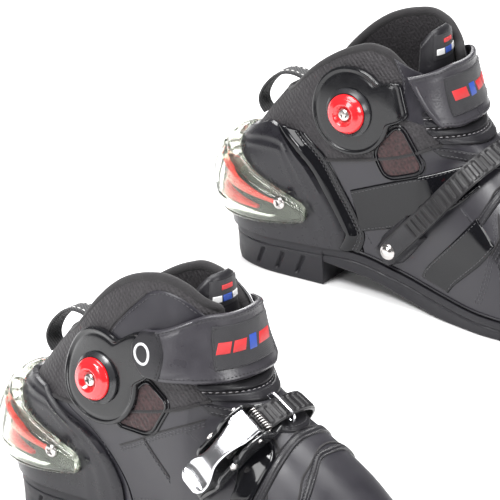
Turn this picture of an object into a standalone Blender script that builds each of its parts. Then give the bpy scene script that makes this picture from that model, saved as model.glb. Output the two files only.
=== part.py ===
"""A pair of short motorcycle riding boots, as an assembly of separate pieces.

Each boot is drawn in its own boot frame: X runs from the heel to the toe, Z is up, and the medial side is +Y on the
right boot. The left boot is its mirror image. Driving dimensions are in millimetres; MM turns them into metres.
"""

import math

import bmesh
import bpy
from mathutils import Matrix, Vector

MM = 0.001

# ---------------------------------------------------------------- driving dimensions (mm)
BOOT_YAW_DEG = 5.0  # each boot toes out by this much
LEFT_BOOT_FROM_RIGHT = (-139.0, 453.0)  # where the left boot's heel stands, seen from the right one's
BOX_CENTRE = (64.85, 226.5)  # centre of the pair's bounding box, from the right heel
WALL = 3.5  # quarter, vamp and toe cap
COLLAR_WALL = 7.0  # padded ankle shaft
GAP = 0.5  # between sewn panels
SOLE_GAP = 0.7  # between the outsole and what stands on it
SHAFT_HALF_WIDTH = 42.0
COLLAR_TAPER = 10.0  # the collar draws in by this much on each side towards its rim
ARCH = 3.0  # how much the medial waist draws in

# front outline of a horizontal slice, by height
FRONT_X = [(8, 293), (14, 296.5), (22, 298), (30, 298), (38, 296.5), (46, 293), (57, 286), (68, 275.5), (77, 264.5),
           (86, 251.5), (95, 237.5), (105, 220), (113, 204), (120, 190), (128, 176.5), (137, 166), (150, 158.5),
           (170, 153), (190, 150), (210, 148), (235, 147), (262, 146)]
# back outline of a horizontal slice, by height
BACK_X = [(0, -4), (20, -9), (30, -12), (45, -15), (60, -16), (75, -13.5), (90, -6), (110, 7), (140, 25), (170, 33),
          (210, 41), (262, 48)]
# half width of the foot, by distance from the heel
FOOT_HALF = [(-10, 35), (60, 35), (100, 35.5), (140, 39.5), (180, 45), (210, 48.5), (240, 47), (262, 41.5),
             (280, 31), (291, 18.5), (296, 9), (298, 0.5)]
SOLE_TOP = [(-20, 27), (30, 27.5), (60, 29), (92, 31), (130, 25.5), (160, 20), (200, 15), (240, 13.5), (265, 15),
            (285, 19), (301, 24)]
SOLE_BOTTOM = [(71.7, 18), (110, 13), (140, 6), (165, 1), (180, 0), (240, 0), (260, 1.8), (280, 6.5), (301, 13)]
HEEL_UNDERCUT = [(-13.5, 20), (-11, 12.5), (-6.5, 5), (-1, 0)]
ANKLE_SEAM = [(-20, 90), (60, 96), (120, 110), (180, 136)]  # where the shaft is sewn to the lower
COLLAR_RIM = {1: [(20, 133), (30, 137), (49, 157), (68, 173), (85, 183), (100, 188), (110, 187), (121, 181),
                  (134, 173), (152, 168)],
              -1: [(20, 133), (32, 137), (44, 149), (56, 165), (71, 181), (85, 191), (100, 197), (115, 200),
                   (129, 197), (141, 189), (153, 181)]}  # medial, lateral
QUARTER_EDGE = [(10, 106), (28, 104), (45, 98), (60, 88), (80, 68), (92, 48), (104, 36)]
COUNTER_EDGE = {1: [(10, 93), (30, 91), (45, 88), (57, 82), (71, 73), (89, 60), (100, 48), (110, 34), (118, 21)],
                -1: [(10, 98), (30, 96), (45, 93), (57, 87), (70, 77), (80, 62), (87, 46), (94, 33), (102, 20)]}
COUNTER_RISE = {1: 19.0, -1: 5.0}  # how much higher the heel cup is at its front corners than at the back
TOE_SEAM_X = 232.0

DISC = {1: (91.0, 139.0), -1: (75.0, 121.0)}  # ankle joint, medial and lateral: distance from the heel, height
PLATE_RADIUS = {1: 31.5, -1: 32.0}
PLATE_TAIL = {1: (43.0, 14.0, 22.0), -1: (50.0, 15.0, 37.0)}  # reach, half width, angle above the horizontal
RING_RADIUS = 17.5
CAP_RADIUS = 14.2
HEEL_SCREW = (41.0, 61.5)
BAND_RIDGE_X = 192.0  # where the ladder crosses the ridge of the instep
BAND_ANGLE = {1: 50.0, -1: 57.0}  # how steeply the ladder (medial) and the buckle (lateral) climb
RIVET_HEIGHT = 42.0
LIFT = 2.2  # everything on the instep stands this much further off it
LADDER_WIDTH = 16.0
BUCKLE_WIDTH = 27.0
STRAP_WIDTH = 43.0
STRAP_HEIGHT = 158.0
STRAP_ENDS_X = (102.0, 139.0)  # lateral tip, medial root

COLOURS = {
    "rubber_sole": ((0.018, 0.017, 0.020), 0.65, 0.0),
    "board": ((0.05, 0.045, 0.04), 0.8, 0.0),
    "foam": ((0.03, 0.03, 0.032), 0.9, 0.0),
    "patent": ((0.006, 0.006, 0.007), 0.12, 0.0),
    "microfibre": ((0.022, 0.020, 0.024), 0.5, 0.0),
    "mesh_cloth": ((0.014, 0.012, 0.014), 0.85, 0.0),
    "counter": ((0.024, 0.023, 0.026), 0.4, 0.0),
    "clear": ((0.72, 0.76, 0.68), 0.08, 0.0),
    "red": ((0.62, 0.02, 0.025), 0.3, 0.0),
    "plate": ((0.012, 0.012, 0.014), 0.35, 0.0),
    "screw": ((0.75, 0.74, 0.72), 0.22, 1.0),
    "lever": ((0.82, 0.82, 0.83), 0.1, 1.0),
    "webbing": ((0.008, 0.008, 0.009), 0.8, 0.0),
    "buckle": ((0.014, 0.013, 0.014), 0.3, 0.0),
}


# ---------------------------------------------------------------- smooth tables
def smoothed(x, table):
    """A monotone cubic through the table's points, flat-ended beyond them."""
    if x <= table[0][0]:
        return float(table[0][1])
    if x >= table[-1][0]:
        return float(table[-1][1])
    i = 0
    while table[i + 1][0] < x:
        i += 1

    def chord(k):
        return (table[k + 1][1] - table[k][1]) / (table[k + 1][0] - table[k][0])

    def slope(k):
        if k == 0:
            return chord(0)
        if k == len(table) - 1:
            return chord(k - 1)
        d0, d1 = chord(k - 1), chord(k)
        return 0.0 if d0 * d1 <= 0 else 2 * d0 * d1 / (d0 + d1)

    x0, y0 = table[i]
    x1, y1 = table[i + 1]
    h = x1 - x0
    u = (x - x0) / h
    m0, m1 = slope(i) * h, slope(i + 1) * h
    return (y0 * (2 * u**3 - 3 * u**2 + 1) + m0 * (u**3 - 2 * u**2 + u) + y1 * (3 * u**2 - 2 * u**3)
            + m1 * (u**3 - u**2))


def step(x, a, b):
    u = min(1.0, max(0.0, (x - a) / (b - a)))
    return u * u * (3 - 2 * u)


TOP_OF_X = sorted((x, z) for z, x in FRONT_X if z >= 38) + [(298, 31)]


def top_height(x):
    return 262 + (146 - x) * 10 if x <= 146 else smoothed(x, TOP_OF_X)


# ---------------------------------------------------------------- the body's surface
def centre(x):
    return 6.0 * step(x, 140, 300)


def half_width(x, z, side):
    low = smoothed(x, FOOT_HALF)
    if side > 0:
        low -= ARCH * math.exp(-(((x - 140) / 40) ** 2))
    shaft = SHAFT_HALF_WIDTH - COLLAR_TAPER * step(z, 135, 205)
    high = shaft + (low - shaft) * step(x, 150, 185)
    k = step(z, 45, 110)
    w = low * (1 - k) + high * k
    q = min(1.0, max(0.0, (z - 20) / max(1.0, top_height(x) - 20)))
    roof = (1 - q**2.3) ** (1 / 2.3)
    u = min(1.0, max(0.0, (x - (smoothed(z, FRONT_X) - 40)) / 40))
    front = (1 - u**2.2) ** (1 / 2.2)
    kf = step(z, 112, 150)
    kb = step(z, 60, 125)
    reach = 48 + 20 * kb
    power = 2.2 - 0.2 * kb
    ub = min(1.0, max(0.0, (smoothed(z, BACK_X) + reach - x) / reach))
    return w * (roof * (1 - kf) + front * kf) * (1 - ub**power) ** (1 / power)


def slice_x(a, z):
    back = smoothed(z, BACK_X)
    return back + (smoothed(z, FRONT_X) - back) * (1 + math.cos(math.pi * a)) / 2


def around(a, z):
    """A point of the surface: a is 0 at the front and 1 or -1 at the back, positive on the medial side."""
    while a > 1:
        a -= 2
    while a < -1:
        a += 2
    x = slice_x(a, z)
    side = 1 if a >= 0 else -1
    return Vector((x, centre(x) + side * half_width(x, z, side), z))


def around_normal(a, z):
    da, dz = 0.004, 0.6
    n = (around(a + da, z) - around(a - da, z)).cross(around(a, z + dz) - around(a, z - dz))
    return n.normalized()


def off_body(a, z, distance):
    return around(a, z) + around_normal(a, z) * distance


def on_side(x, z, side, distance):
    """A point over the side of the body at this distance from the heel and height."""
    y = half_width(x, z, side)
    dx = (half_width(x + 0.4, z, side) - half_width(x - 0.4, z, side)) / 0.8
    dz = (half_width(x, z + 0.4, side) - half_width(x, z - 0.4, side)) / 0.8
    n = Vector((-dx, side, -dz)).normalized()
    return Vector((x, centre(x) + side * y, z)) + n * distance, n


def a_at(x, z):
    """The position round the slice whose distance from the heel is x."""
    back = smoothed(z, BACK_X)
    f = (x - back) / (smoothed(z, FRONT_X) - back)
    return math.acos(min(1.0, max(-1.0, 2 * f - 1))) / math.pi


def settle(line, a, start, lift=0.0):
    """The height at which the slice position a meets a line given as height by distance from the heel."""
    z = start
    for _ in range(30):
        z += 0.5 * (smoothed(slice_x(a(z) if callable(a) else a, z), line) + lift - z)
    return z


# ---------------------------------------------------------------- making objects
def clear_scene():
    for obj in list(bpy.data.objects):
        bpy.data.objects.remove(obj, do_unlink=True)


clear_scene()
PARTS = bpy.data.collections.new("riding_boots")
CUTTERS = bpy.data.collections.new("cutters")
bpy.context.scene.collection.children.link(PARTS)
bpy.context.scene.collection.children.link(CUTTERS)


def material(name, colour, roughness, metallic):
    mat = bpy.data.materials.new(name)
    mat.use_nodes = True
    shader = mat.node_tree.nodes["Principled BSDF"]
    shader.inputs["Base Color"].default_value = (*colour, 1)
    shader.inputs["Roughness"].default_value = roughness
    shader.inputs["Metallic"].default_value = metallic
    mat.diffuse_color = (*colour, 1)
    return mat


def linear_range(start, stop, count):
    return [start + (stop - start) * i / (count - 1) for i in range(count)]


class Boot:
    """One boot: side is 1 for the right boot and -1 for the left."""

    def __init__(self, prefix, side, place):
        self.prefix, self.side = prefix, side
        self.frame = bpy.data.objects.new(prefix + "boot_frame", None)
        PARTS.objects.link(self.frame)
        self.frame.location = ((place[0] - BOX_CENTRE[0]) * MM, (place[1] - BOX_CENTRE[1]) * MM, 0)
        self.frame.rotation_euler[2] = math.radians(-BOOT_YAW_DEG * side)

    def vec(self, p):
        return Vector((p[0], p[1] * self.side, p[2]))

    def adopt(self, name, mesh, finish, origin=(0, 0, 0), smooth=True, turn=None):
        obj = bpy.data.objects.new(self.prefix + name, mesh)
        PARTS.objects.link(obj)
        obj.parent = self.frame
        obj.location = self.vec(origin) * MM
        if turn is not None:
            obj.rotation_euler = turn.to_euler()
        obj.data.materials.append(material(self.prefix + name, *COLOURS[finish]))
        if smooth:
            obj.data.shade_smooth()
            obj.data.set_sharp_from_angle(angle=math.radians(40))
        return obj

    def shell(self, name, rows, thickness, outward, finish, origin=(0, 0, 0)):
        """An open grid of points, rows upwards and columns forwards round the slice, made solid."""
        bm = bmesh.new()
        base = self.vec(origin)
        verts = [[bm.verts.new((self.vec(p) - base) * MM) for p in row] for row in rows]
        for low, high in zip(verts, verts[1:]):
            for i in range(len(low) - 1):
                corners = [low[i], low[i + 1], high[i + 1], high[i]]
                bm.faces.new(corners if self.side > 0 else corners[::-1])
        mesh = bpy.data.meshes.new(self.prefix + name)
        bm.to_mesh(mesh)
        bm.free()
        obj = self.adopt(name, mesh, finish, origin)
        solid = obj.modifiers.new("wall", "SOLIDIFY")
        solid.thickness = thickness * MM
        solid.offset = 1 if outward else -1
        solid.use_even_offset = False
        return obj

    def loft(self, name, sections, finish, origin=(0, 0, 0), closed=False, smooth=True):
        """Rings of equal point counts joined in order, with flat ends."""
        bm = bmesh.new()
        base = self.vec(origin)
        rings = [[bm.verts.new((self.vec(p) - base) * MM) for p in ring] for ring in sections]
        count = len(rings[0])
        pairs = list(zip(rings, rings[1:])) + ([(rings[-1], rings[0])] if closed else [])
        for first, second in pairs:
            for i in range(count):
                j = (i + 1) % count
                bm.faces.new((first[i], first[j], second[j], second[i]))
        if not closed:
            bm.faces.new(rings[0][::-1])
            bm.faces.new(rings[-1])
        bmesh.ops.recalc_face_normals(bm, faces=bm.faces)
        mesh = bpy.data.meshes.new(self.prefix + name)
        bm.to_mesh(mesh)
        bm.free()
        return self.adopt(name, mesh, finish, origin, smooth)

    def turned(self, name, profile, finish, at, normal, steps=16, ring=False):
        """A turned piece: the profile is (radius, height) down its outer side; the axis is the given normal."""
        bm = bmesh.new()
        verts = [bm.verts.new((r * MM, 0, h * MM)) for r, h in profile]
        for first, second in zip(verts, verts[1:] + (verts[:1] if ring else [])):
            if first is not second:
                bm.edges.new((first, second))
        mesh = bpy.data.meshes.new(self.prefix + name)
        bm.to_mesh(mesh)
        bm.free()
        turn = self.vec(normal).to_track_quat("Z", "Y")
        obj = self.adopt(name, mesh, finish, at, False, turn)
        screw = obj.modifiers.new("turn", "SCREW")
        screw.steps = screw.render_steps = steps
        screw.use_merge_vertices = True
        screw.merge_threshold = 0.00001
        screw.use_smooth_shade = True
        return obj

    def drill(self, obj, at, along, radius, length, name):
        """Bores a straight round hole through a piece."""
        bm = bmesh.new()
        bmesh.ops.create_cone(bm, cap_ends=True, segments=14, radius1=radius * MM, radius2=radius * MM,
                              depth=length * MM)
        mesh = bpy.data.meshes.new(name)
        bm.to_mesh(mesh)
        bm.free()
        cutter = bpy.data.objects.new(self.prefix + name, mesh)
        CUTTERS.objects.link(cutter)
        cutter.parent = self.frame
        cutter.location = self.vec(at) * MM
        cutter.rotation_euler = self.vec(along).to_track_quat("Z", "Y").to_euler()
        cutter.hide_render = True
        cutter.display_type = "WIRE"
        cut = obj.modifiers.new(name, "BOOLEAN")
        cut.operation = "DIFFERENCE"
        cut.solver = "EXACT"
        cut.object = cutter

    # ------------------------------------------------------------ sole
    def sole(self):
        def outline(x):
            inner = -11.0 + (x + 13.5) * (297.6 + 11.0) / (300.5 + 13.5)
            return inner, [half_width(inner, 20, s) + 2.5 for s in (1, -1)]

        stations = [-13.5, -11, -6.5, -1, 10, 28, 50, 71, 71.7, 90, 110, 128, 146, 165, 182, 200, 220, 240, 256, 268, 279,
                    288, 295, 300.5]
        sections = []
        for x in stations:
            inner, (medial, lateral) = outline(x)
            top = smoothed(x, SOLE_TOP)
            if x < -1:
                bottom = smoothed(x, HEEL_UNDERCUT)
            elif x <= 71:
                bottom = 0.0
            else:
                bottom = smoothed(x, SOLE_BOTTOM)
            c = centre(inner)
            tuck = 2.5 if x > 71 else 4.0
            mid = bottom + 0.35 * (top - bottom)
            sections.append([(x, c + medial - tuck, bottom), (x, c + medial - 0.6, mid), (x, c + medial, top),
                             (x, c - lateral, top), (x, c - lateral + 0.6, mid), (x, c - lateral + tuck, bottom)])
        self.loft("outsole", sections, "rubber_sole")

        def slab(name, inset, low, high, finish):
            rings = []
            for a in linear_range(0.97, 0.03, 19):
                left = off_body(a, 30, -inset)
                right = off_body(-a, 30, -inset)
                rings.append([(left.x, left.y, smoothed(left.x, SOLE_TOP) + low),
                              (left.x, left.y, smoothed(left.x, SOLE_TOP) + high),
                              (right.x, right.y, smoothed(right.x, SOLE_TOP) + high),
                              (right.x, right.y, smoothed(right.x, SOLE_TOP) + low)])
            self.loft(name, rings, finish)

        slab("insole_board", 6.0, SOLE_GAP, SOLE_GAP + 2.0, "board")
        slab("footbed", 6.4, SOLE_GAP + 2.4, SOLE_GAP + 6.6, "foam")

    # ------------------------------------------------------------ upper
    def upper(self):
        def lower_column(c, back):
            def a(z):
                edge = a_at(smoothed(z, QUARTER_EDGE), z)
                if back:
                    side = 1 if c >= 0 else -1
                    return side * (1 - abs(c) * (1 - edge - 0.0016))
                return c * (edge - 0.0016)

            bottom = settle(SOLE_TOP, a, 20, SOLE_GAP)
            top = settle(ANKLE_SEAM, a, 100, -GAP)
            return [(a(z), z) for z in linear_range(bottom, top, 8 if back else 10)]

        def to_rows(columns, distance):
            return [[off_body(a, z, distance) for a, z in (col[i] for col in columns)]
                    for i in range(len(columns[0]))]

        quarter = [lower_column(c, True) for c in linear_range(1, -1, 17)]
        self.shell("quarter", to_rows(quarter, 0), WALL, False, "microfibre")

        front = [lower_column(c, False) for c in linear_range(-1, 1, 25)]
        rows = to_rows(front, 0)
        for name, keep_toe in (("vamp", False), ("toe_cap", True)):
            obj = self.shell(name, rows, WALL, False, "microfibre")
            bm = bmesh.new()
            bm.from_mesh(obj.data)
            seam = (TOE_SEAM_X + (GAP if keep_toe else -GAP)) * MM
            bmesh.ops.bisect_plane(bm, geom=bm.verts[:] + bm.edges[:] + bm.faces[:], dist=1e-7,
                                   plane_co=(seam, 0, 0.02), plane_no=(1, 0, 0.35), clear_inner=keep_toe,
                                   clear_outer=not keep_toe)
            bm.to_mesh(obj.data)
            bm.free()

        edge = 0.085
        positions = linear_range(edge, 1, 13) + linear_range(-1, -edge, 13)[1:]
        columns = []
        for a in positions:
            bottom = settle(ANKLE_SEAM, a, 110, GAP)
            top = settle(COLLAR_RIM[1 if a >= 0 else -1], a, 190)
            columns.append([(a, z) for z in linear_range(bottom, top, 7)])
        self.shell("shaft", to_rows(columns, 0), COLLAR_WALL, False, "mesh_cloth")

        columns = []
        for a in linear_range(-0.235, 0.235, 9):
            top = 202 - 10 * (abs(a) / 0.235) ** 3
            columns.append([(a, z) for z in linear_range(114, top, 9)])
        rows = [[off_body(a, z, -COLLAR_WALL - 2.0) for a, z in (col[i] for col in columns)]
                for i in range(9)]
        self.shell("tongue", rows, 6.0, False, "mesh_cloth")

    # ------------------------------------------------------------ heel
    def heel(self):
        columns = []
        for c in linear_range(1, -1, 21):
            side = 1 if c >= 0 else -1

            def a(z, c=c, side=side):
                return side * (1 - abs(c) ** 1.3 * (1 - a_at(smoothed(z, COUNTER_EDGE[side]), z)))

            bottom = settle(SOLE_TOP, a, 28, SOLE_GAP)
            top = 93 + COUNTER_RISE[side] * step(abs(c), 0.05, 0.9)
            columns.append([(a(z), z) for z in linear_range(bottom, top, 8)])
        rows = [[off_body(a, z, 1.8) for a, z in (col[i] for col in columns)] for i in range(8)]
        counter = self.shell("heel_counter", rows, 2.4, True, "counter")

        def guard_at(k):
            """Top, bottom and bulge of the clear guard, k being 0 at the back and 1 at its nose."""
            return 89 - 28 * k**1.15, 37 + 9 * k**2.5, 4.5 + 5 * (1 - k) ** 1.7

        sections = []
        for c in linear_range(1, -1, 21):
            along = abs(c) ** 1.8
            side = 1 if c >= 0 else -1
            high, low, proud = guard_at(along**0.8)
            middle, reach = (low + high) / 2, (high - low) / 2
            pocket = 4.6 if abs(c) < 0.82 else 0.0

            def at(share, out, along=along, side=side, low=low, middle=middle, reach=reach):
                z = low + 2 * reach * share
                nose = 60 - 4.5 * ((z - middle) / reach) ** 2 * along**4
                x = smoothed(z, BACK_X) + (nose - smoothed(z, BACK_X)) * along
                return off_body(side * a_at(x, z), z, 5.0 + out)

            sections.append([at(0, 0), at(0.14, 0), at(0.24, pocket), at(0.7, pocket), at(0.82, 0), at(1, 0),
                             at(1, 3.0), at(0.72, 2.6 + 0.75 * proud), at(0.32, proud + 1.5), at(0, 0.5 * proud)])
        slider = self.loft("heel_slider", sections, "clear")

        # the red insert stands in the pocket between the cup and the clear guard
        rows = []
        for share in (0.31, 0.42, 0.53, 0.64):
            row = []
            for c in linear_range(1, -1, 19):
                along = 0.52 * abs(c) ** 1.8
                high, low, _ = guard_at(along**0.8)
                z = low + (high - low) * share
                x = smoothed(z, BACK_X) + (60 - smoothed(z, BACK_X)) * along
                row.append(off_body((1 if c >= 0 else -1) * a_at(x, z), z, 5.6))
            rows.append(row)
        self.shell("heel_reflector", rows, 1.9, True, "red")
        return counter, slider

    def heel_fasteners(self, counter, slider):
        for side, label in ((-1, "lateral"), (1, "medial")):
            seat, normal = on_side(*HEEL_SCREW, side, 4.8)
            for piece, tag in ((counter, "counter"), (slider, "slider")):
                self.drill(piece, seat, normal, 2.3, 40, f"hole_{tag}_{label}")
            head = seat + normal * 7.4
            self.turned("heel_screw_" + label,
                        [(0, 2.6), (2.6, 2.2), (4.6, 0.9), (4.6, 0), (2.0, 0), (2.0, -9.6), (0, -9.6)], "screw",
                        head, normal, steps=12)

    # ------------------------------------------------------------ ankle joints
    def ankle(self):
        for side, label in ((-1, "lateral"), (1, "medial")):
            reach, half, angle = PLATE_TAIL[side]

            def radius(phi, rim=PLATE_RADIUS[side], reach=reach, half=half, angle=angle):
                d = abs((math.degrees(phi) - angle + 180) % 360 - 180)
                if d >= math.degrees(math.asin(half / rim)):
                    return rim
                d = math.radians(d)
                return min(half / max(1e-6, math.sin(d)), reach / math.cos(d))

            angles = [math.radians(angle + d) for d in (0, 9, 16.7, 23, 31, 45, 62, 80, 100, 120, 140, 160, 180, 200,
                                                        220, 240, 260, 280, 298, 315, 329, 337, 343.3, 351)]
            rows = []
            for share in (0.0, 0.35, 0.7, 1.0):
                row = []
                for phi in angles + angles[:1]:
                    r = 2.6 + share * (radius(phi) - 2.6)
                    row.append(on_side(DISC[side][0] + r * math.cos(phi), DISC[side][1] + r * math.sin(phi), side,
                                       0.9)[0])
                rows.append(row)
            self.plate_shell("ankle_plate_" + label, rows, side)
            seat, normal = on_side(*DISC[side], side, 4.3)
            self.turned("ankle_ring_" + label,
                        [(3.2, 3.2), (RING_RADIUS - 1.6, 3.2), (RING_RADIUS, 1.6), (RING_RADIUS, 0), (3.2, 0)],
                        "plate", seat, normal, steps=16, ring=True)
            self.turned("ankle_cap_" + label,
                        [(3.2, 3.2), (5.6, 3.2), (7.4, 5.6), (11.2, 5.0), (CAP_RADIUS, 2.2), (CAP_RADIUS, 0),
                         (3.2, 0)],
                        "red", seat + normal * 3.6, normal, steps=16, ring=True)
            self.turned("ankle_screw_" + label,
                        [(0, 2.4), (2.6, 2.0), (4.4, 0.7), (4.4, 0), (2.0, 0), (2.0, -9.8), (0, -9.8)], "screw",
                        seat + normal * 7.2, normal, steps=12)

    def plate_shell(self, name, rows, side):
        """A closed ring of columns round the ankle, hugging the shaft."""
        bm = bmesh.new()
        verts = [[bm.verts.new(self.vec(p) * MM) for p in row[:-1]] for row in rows]
        count = len(verts[0])
        flip = side * self.side > 0
        for inner, outer in zip(verts, verts[1:]):
            for i in range(count):
                j = (i + 1) % count
                corners = [inner[i], outer[i], outer[j], inner[j]]
                bm.faces.new(corners[::-1] if flip else corners)
        mesh = bpy.data.meshes.new(self.prefix + name)
        bm.to_mesh(mesh)
        bm.free()
        obj = self.adopt(name, mesh, "plate")
        solid = obj.modifiers.new("wall", "SOLIDIFY")
        solid.thickness = 3.0 * MM
        solid.offset = 1
        solid.use_even_offset = False

    # ------------------------------------------------------------ straps
    def pull_loop(self):
        path = [(4.9, 108), (1.2, 112.5), (0.2, 118), (2.6, 125), (7.2, 131.5), (13.0, 136.8), (19.5, 139.8),
                (27.5, 139.8), (33.0, 137.0), (34.4, 128)]
        rows = [[(x, y, z) for x, z in path] for y in (-7, 7)]
        self.shell("pull_loop", rows, 2.0, False, "webbing")

    def strap_point(self, a, q, distance):
        z = STRAP_HEIGHT - (9 * step(-a, 0.15, 0.42) if a < 0 else 6 * step(a, 0.05, 0.35)) + q
        return off_body(a, z, distance)

    def closure(self):
        ends = (-a_at(STRAP_ENDS_X[0], STRAP_HEIGHT), a_at(STRAP_ENDS_X[1], STRAP_HEIGHT))
        columns = linear_range(ends[0], ends[1], 21)
        rows = []
        for share in (-1, -0.5, 0, 0.5, 1):
            row = []
            for a in columns:
                tip = 0.30 * step(a, ends[0], ends[0] + 0.05) + 0.33 * step(a, ends[0] + 0.05, -0.12)
                root = -0.16 * step(a, 0.08, ends[1])
                place = a + 0.055 * share * step(a, 0.1, ends[1])
                row.append(self.strap_point(place, share * STRAP_WIDTH / 2 * (0.40 + tip + root), 4.4))
            rows.append(row)
        # it folds open about a line just behind its sewn end and outside its outer face
        self.strap_fold = self.strap_point(ends[1] + 0.03, 0, 8.0)
        origin = self.strap_fold
        self.shell("closure_strap", rows, 2.6, True, "microfibre", origin=tuple(origin))

    def band_line(self, q):
        """Points over the instep where the ladder and the buckle lie, q mm in front of their middle, from the medial
        foot over the ridge to the lateral foot, with their lengths along the band."""
        x0 = BAND_RIDGE_X + 0.82 * q
        z0 = top_height(x0)
        points = []
        for side in (1, -1):
            slope = math.radians(BAND_ANGLE[side])
            run = [115 * (i / 60) ** 2.2 for i in range(61)]
            line = []
            for r in run:
                x, z = x0 - r * math.cos(slope), z0 - r * math.sin(slope)
                y = half_width(x, z, side) if r > 0 else 0.0
                line.append(Vector((x, centre(x) + side * y, z)))
            points += line[::-1] if side > 0 else line[1:]
        lengths = [0.0]
        for first, second in zip(points, points[1:]):
            lengths.append(lengths[-1] + (second - first).length)
        top = lengths[60]
        return points, [s - top for s in lengths]

    def band_at(self, s, q):
        """A point s mm past the ridge on the lateral side (negative is medial) and q mm forwards."""
        points, lengths = self.band_cache.setdefault(round(q, 3), self.band_line(q))
        i = 0
        while i < len(lengths) - 2 and lengths[i + 1] < s:
            i += 1
        u = (s - lengths[i]) / (lengths[i + 1] - lengths[i])
        return points[i].lerp(points[i + 1], u)

    def band_frame(self, s):
        """Point, along, across and normal directions in the middle of the band."""
        point = (self.band_at(s - 3, 0) + self.band_at(s + 3, 0)) / 2
        along = (self.band_at(s + 6, 0) - self.band_at(s - 6, 0)).normalized()
        across = (self.band_at(s, 8) - self.band_at(s, -8)).normalized()
        normal = along.cross(across).normalized()
        if normal.dot(point - Vector((point.x, centre(point.x), 40))) < 0:
            normal = -normal
        across = normal.cross(along).normalized()
        return self.band_at(s, 0), along, across, normal

    def band(self):
        self.band_cache = {}
        # ladder: from its rivet on the medial side, over the ridge, into the buckle
        rivet_s = -60.0
        while self.band_at(rivet_s, 0).z > RIVET_HEIGHT:
            rivet_s -= 0.5
        end_s = rivet_s - 7
        sections = []
        for s in linear_range(end_s, 30, 25):
            p, along, across, normal = self.band_frame(s)
            half = LADDER_WIDTH / 2 * (0.55 + 0.45 * step(s, end_s, end_s + 6))
            low, high = 3.2 + LIFT, 6.4 + LIFT
            sections.append([p - across * half + normal * low, p - across * half + normal * high,
                             p + across * half + normal * high, p + across * half + normal * low])
        ladder = self.loft("ladder_strap", sections, "rubber_sole", smooth=False)
        seat, along, across, normal = self.band_frame(rivet_s)
        self.drill(ladder, seat + normal * 5, normal, 2.6, 12, "hole_rivet")
        self.turned("ladder_rivet", [(0, 3.2), (3.0, 2.7), (5.4, 1.1), (5.8, 0), (2.2, 0), (2.2, -5.8), (0, -5.8)],
                     "screw", seat + normal * (6.8 + LIFT), normal)

        # buckle base: a curved floor with two ears that carry the lever's axle
        axle_s, axle_h = 28.0, 13.0 + LIFT
        o, e1, e2, n = self.band_frame(axle_s)
        axle = o + n * axle_h
        half = BUCKLE_WIDTH / 2
        sections = []
        for s in linear_range(12, 84, 19):
            p, along, across, normal = self.band_frame(s)
            width = half * (0.82 + 0.18 * step(s, 12, 20)) * (1 - 0.35 * step(s, 64, 84))
            wall = 2.6
            rise = (3.0 + 12.5 * step(s, 17, 25) * (1 - step(s, 31, 42))
                    + 2.5 * step(s, 31, 40) * (1 - step(s, 66, 80)))
            floor = 2.4
            ring = [(-width, 1.2), (-width, rise), (-width + wall, rise), (-width + wall, floor),
                    (width - wall, floor), (width - wall, rise), (width, rise), (width, 0.5)]
            sections.append([p + across * w + normal * (h + LIFT) for w, h in ring])
        base = self.loft("buckle_base", sections, "buckle", smooth=False)
        self.drill(base, axle, e2, 1.8, 40, "hole_axle_base")

        # lever: barrel round the axle, waist and round thumb pad, curved like the foot under it
        sections = []
        outline = [(23.6, 9.6), (25, 10.2), (28, 10.4), (32, 10.2), (37, 8.6), (43, 6.8), (50, 6.2), (56, 6.8),
                   (61, 8.2), (67, 8.6), (72, 7.2), (75.5, 4.6)]
        for s, width in outline:
            p, along, across, normal = self.band_frame(s)
            if s <= 33:
                shift = s - axle_s
                p = axle + e1 * shift
                reach = math.sqrt(max(0.2, 4.6**2 - min(4.5, abs(shift)) ** 2))
                low, high = (-reach, reach) if s < 30 else (-1.9, 3.4)
                sections.append([p - e2 * width + n * low, p - e2 * width + n * high, p + e2 * width + n * high,
                                 p + e2 * width + n * low])
                continue
            lift = 12.4 + LIFT + 0.9 * step(s, 64, 76)
            sections.append([p - across * width + normal * lift, p - across * width + normal * (lift + 3),
                             p + across * width + normal * (lift + 3), p + across * width + normal * lift])
        lever = self.loft("buckle_lever", sections, "lever", origin=tuple(axle), smooth=False)
        self.drill(lever, axle, e2, 1.8, 40, "hole_axle_lever")
        self.turned("lever_axle", [(0, half + 1.2), (1.5, half + 1.2), (1.5, -half - 1.2), (0, -half - 1.2)], "screw",
                    tuple(axle), e2, steps=12)

        # pawl: sprung catch behind the ladder's end, lifted to let it go
        p, along, across, normal = self.band_frame(46)
        pivot = p + normal * (5.4 + LIFT)
        shape = [(-9.5, 1.6), (-9.5, 3.2), (-2.0, 3.2), (2.2, 2.0), (2.2, -1.8), (-1.5, -2.0)]
        sections = [[pivot + along * u + normal * v + across * w for u, v in shape] for w in (-5.5, 5.5)]
        self.loft("buckle_pawl", sections, "screw", origin=tuple(pivot), smooth=False)

        # wire bail: keeps the ladder down in front of the buckle
        p, along, across, normal = self.band_frame(6)
        foot = p + normal * (3.4 + LIFT)
        wire = 0.9
        bend = [(-11.6, 0), (-11.6, 3.4), (-9.6, 5.6), (9.6, 5.6), (11.6, 3.4), (11.6, 0)]
        sections = []
        for i, (w, h) in enumerate(bend):
            before = Vector(bend[max(0, i - 1)])
            after = Vector(bend[min(len(bend) - 1, i + 1)])
            run = (after - before).normalized()
            out = Vector((-run.y, run.x))
            ring = []
            for k in range(8):
                c, t = math.cos(k * math.pi / 4) * wire, math.sin(k * math.pi / 4) * wire
                ring.append(foot + across * (w + out.x * c) + normal * (h + out.y * c) + along * t)
            sections.append(ring)
        self.loft("wire_bail", sections, "lever", origin=tuple(foot))
        self.pivots = {"lever": (axle, e2), "pawl": (pivot, across), "bail": (foot, across),
                       "strap": (self.strap_fold, Vector((0, 0, 1)))}

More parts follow.
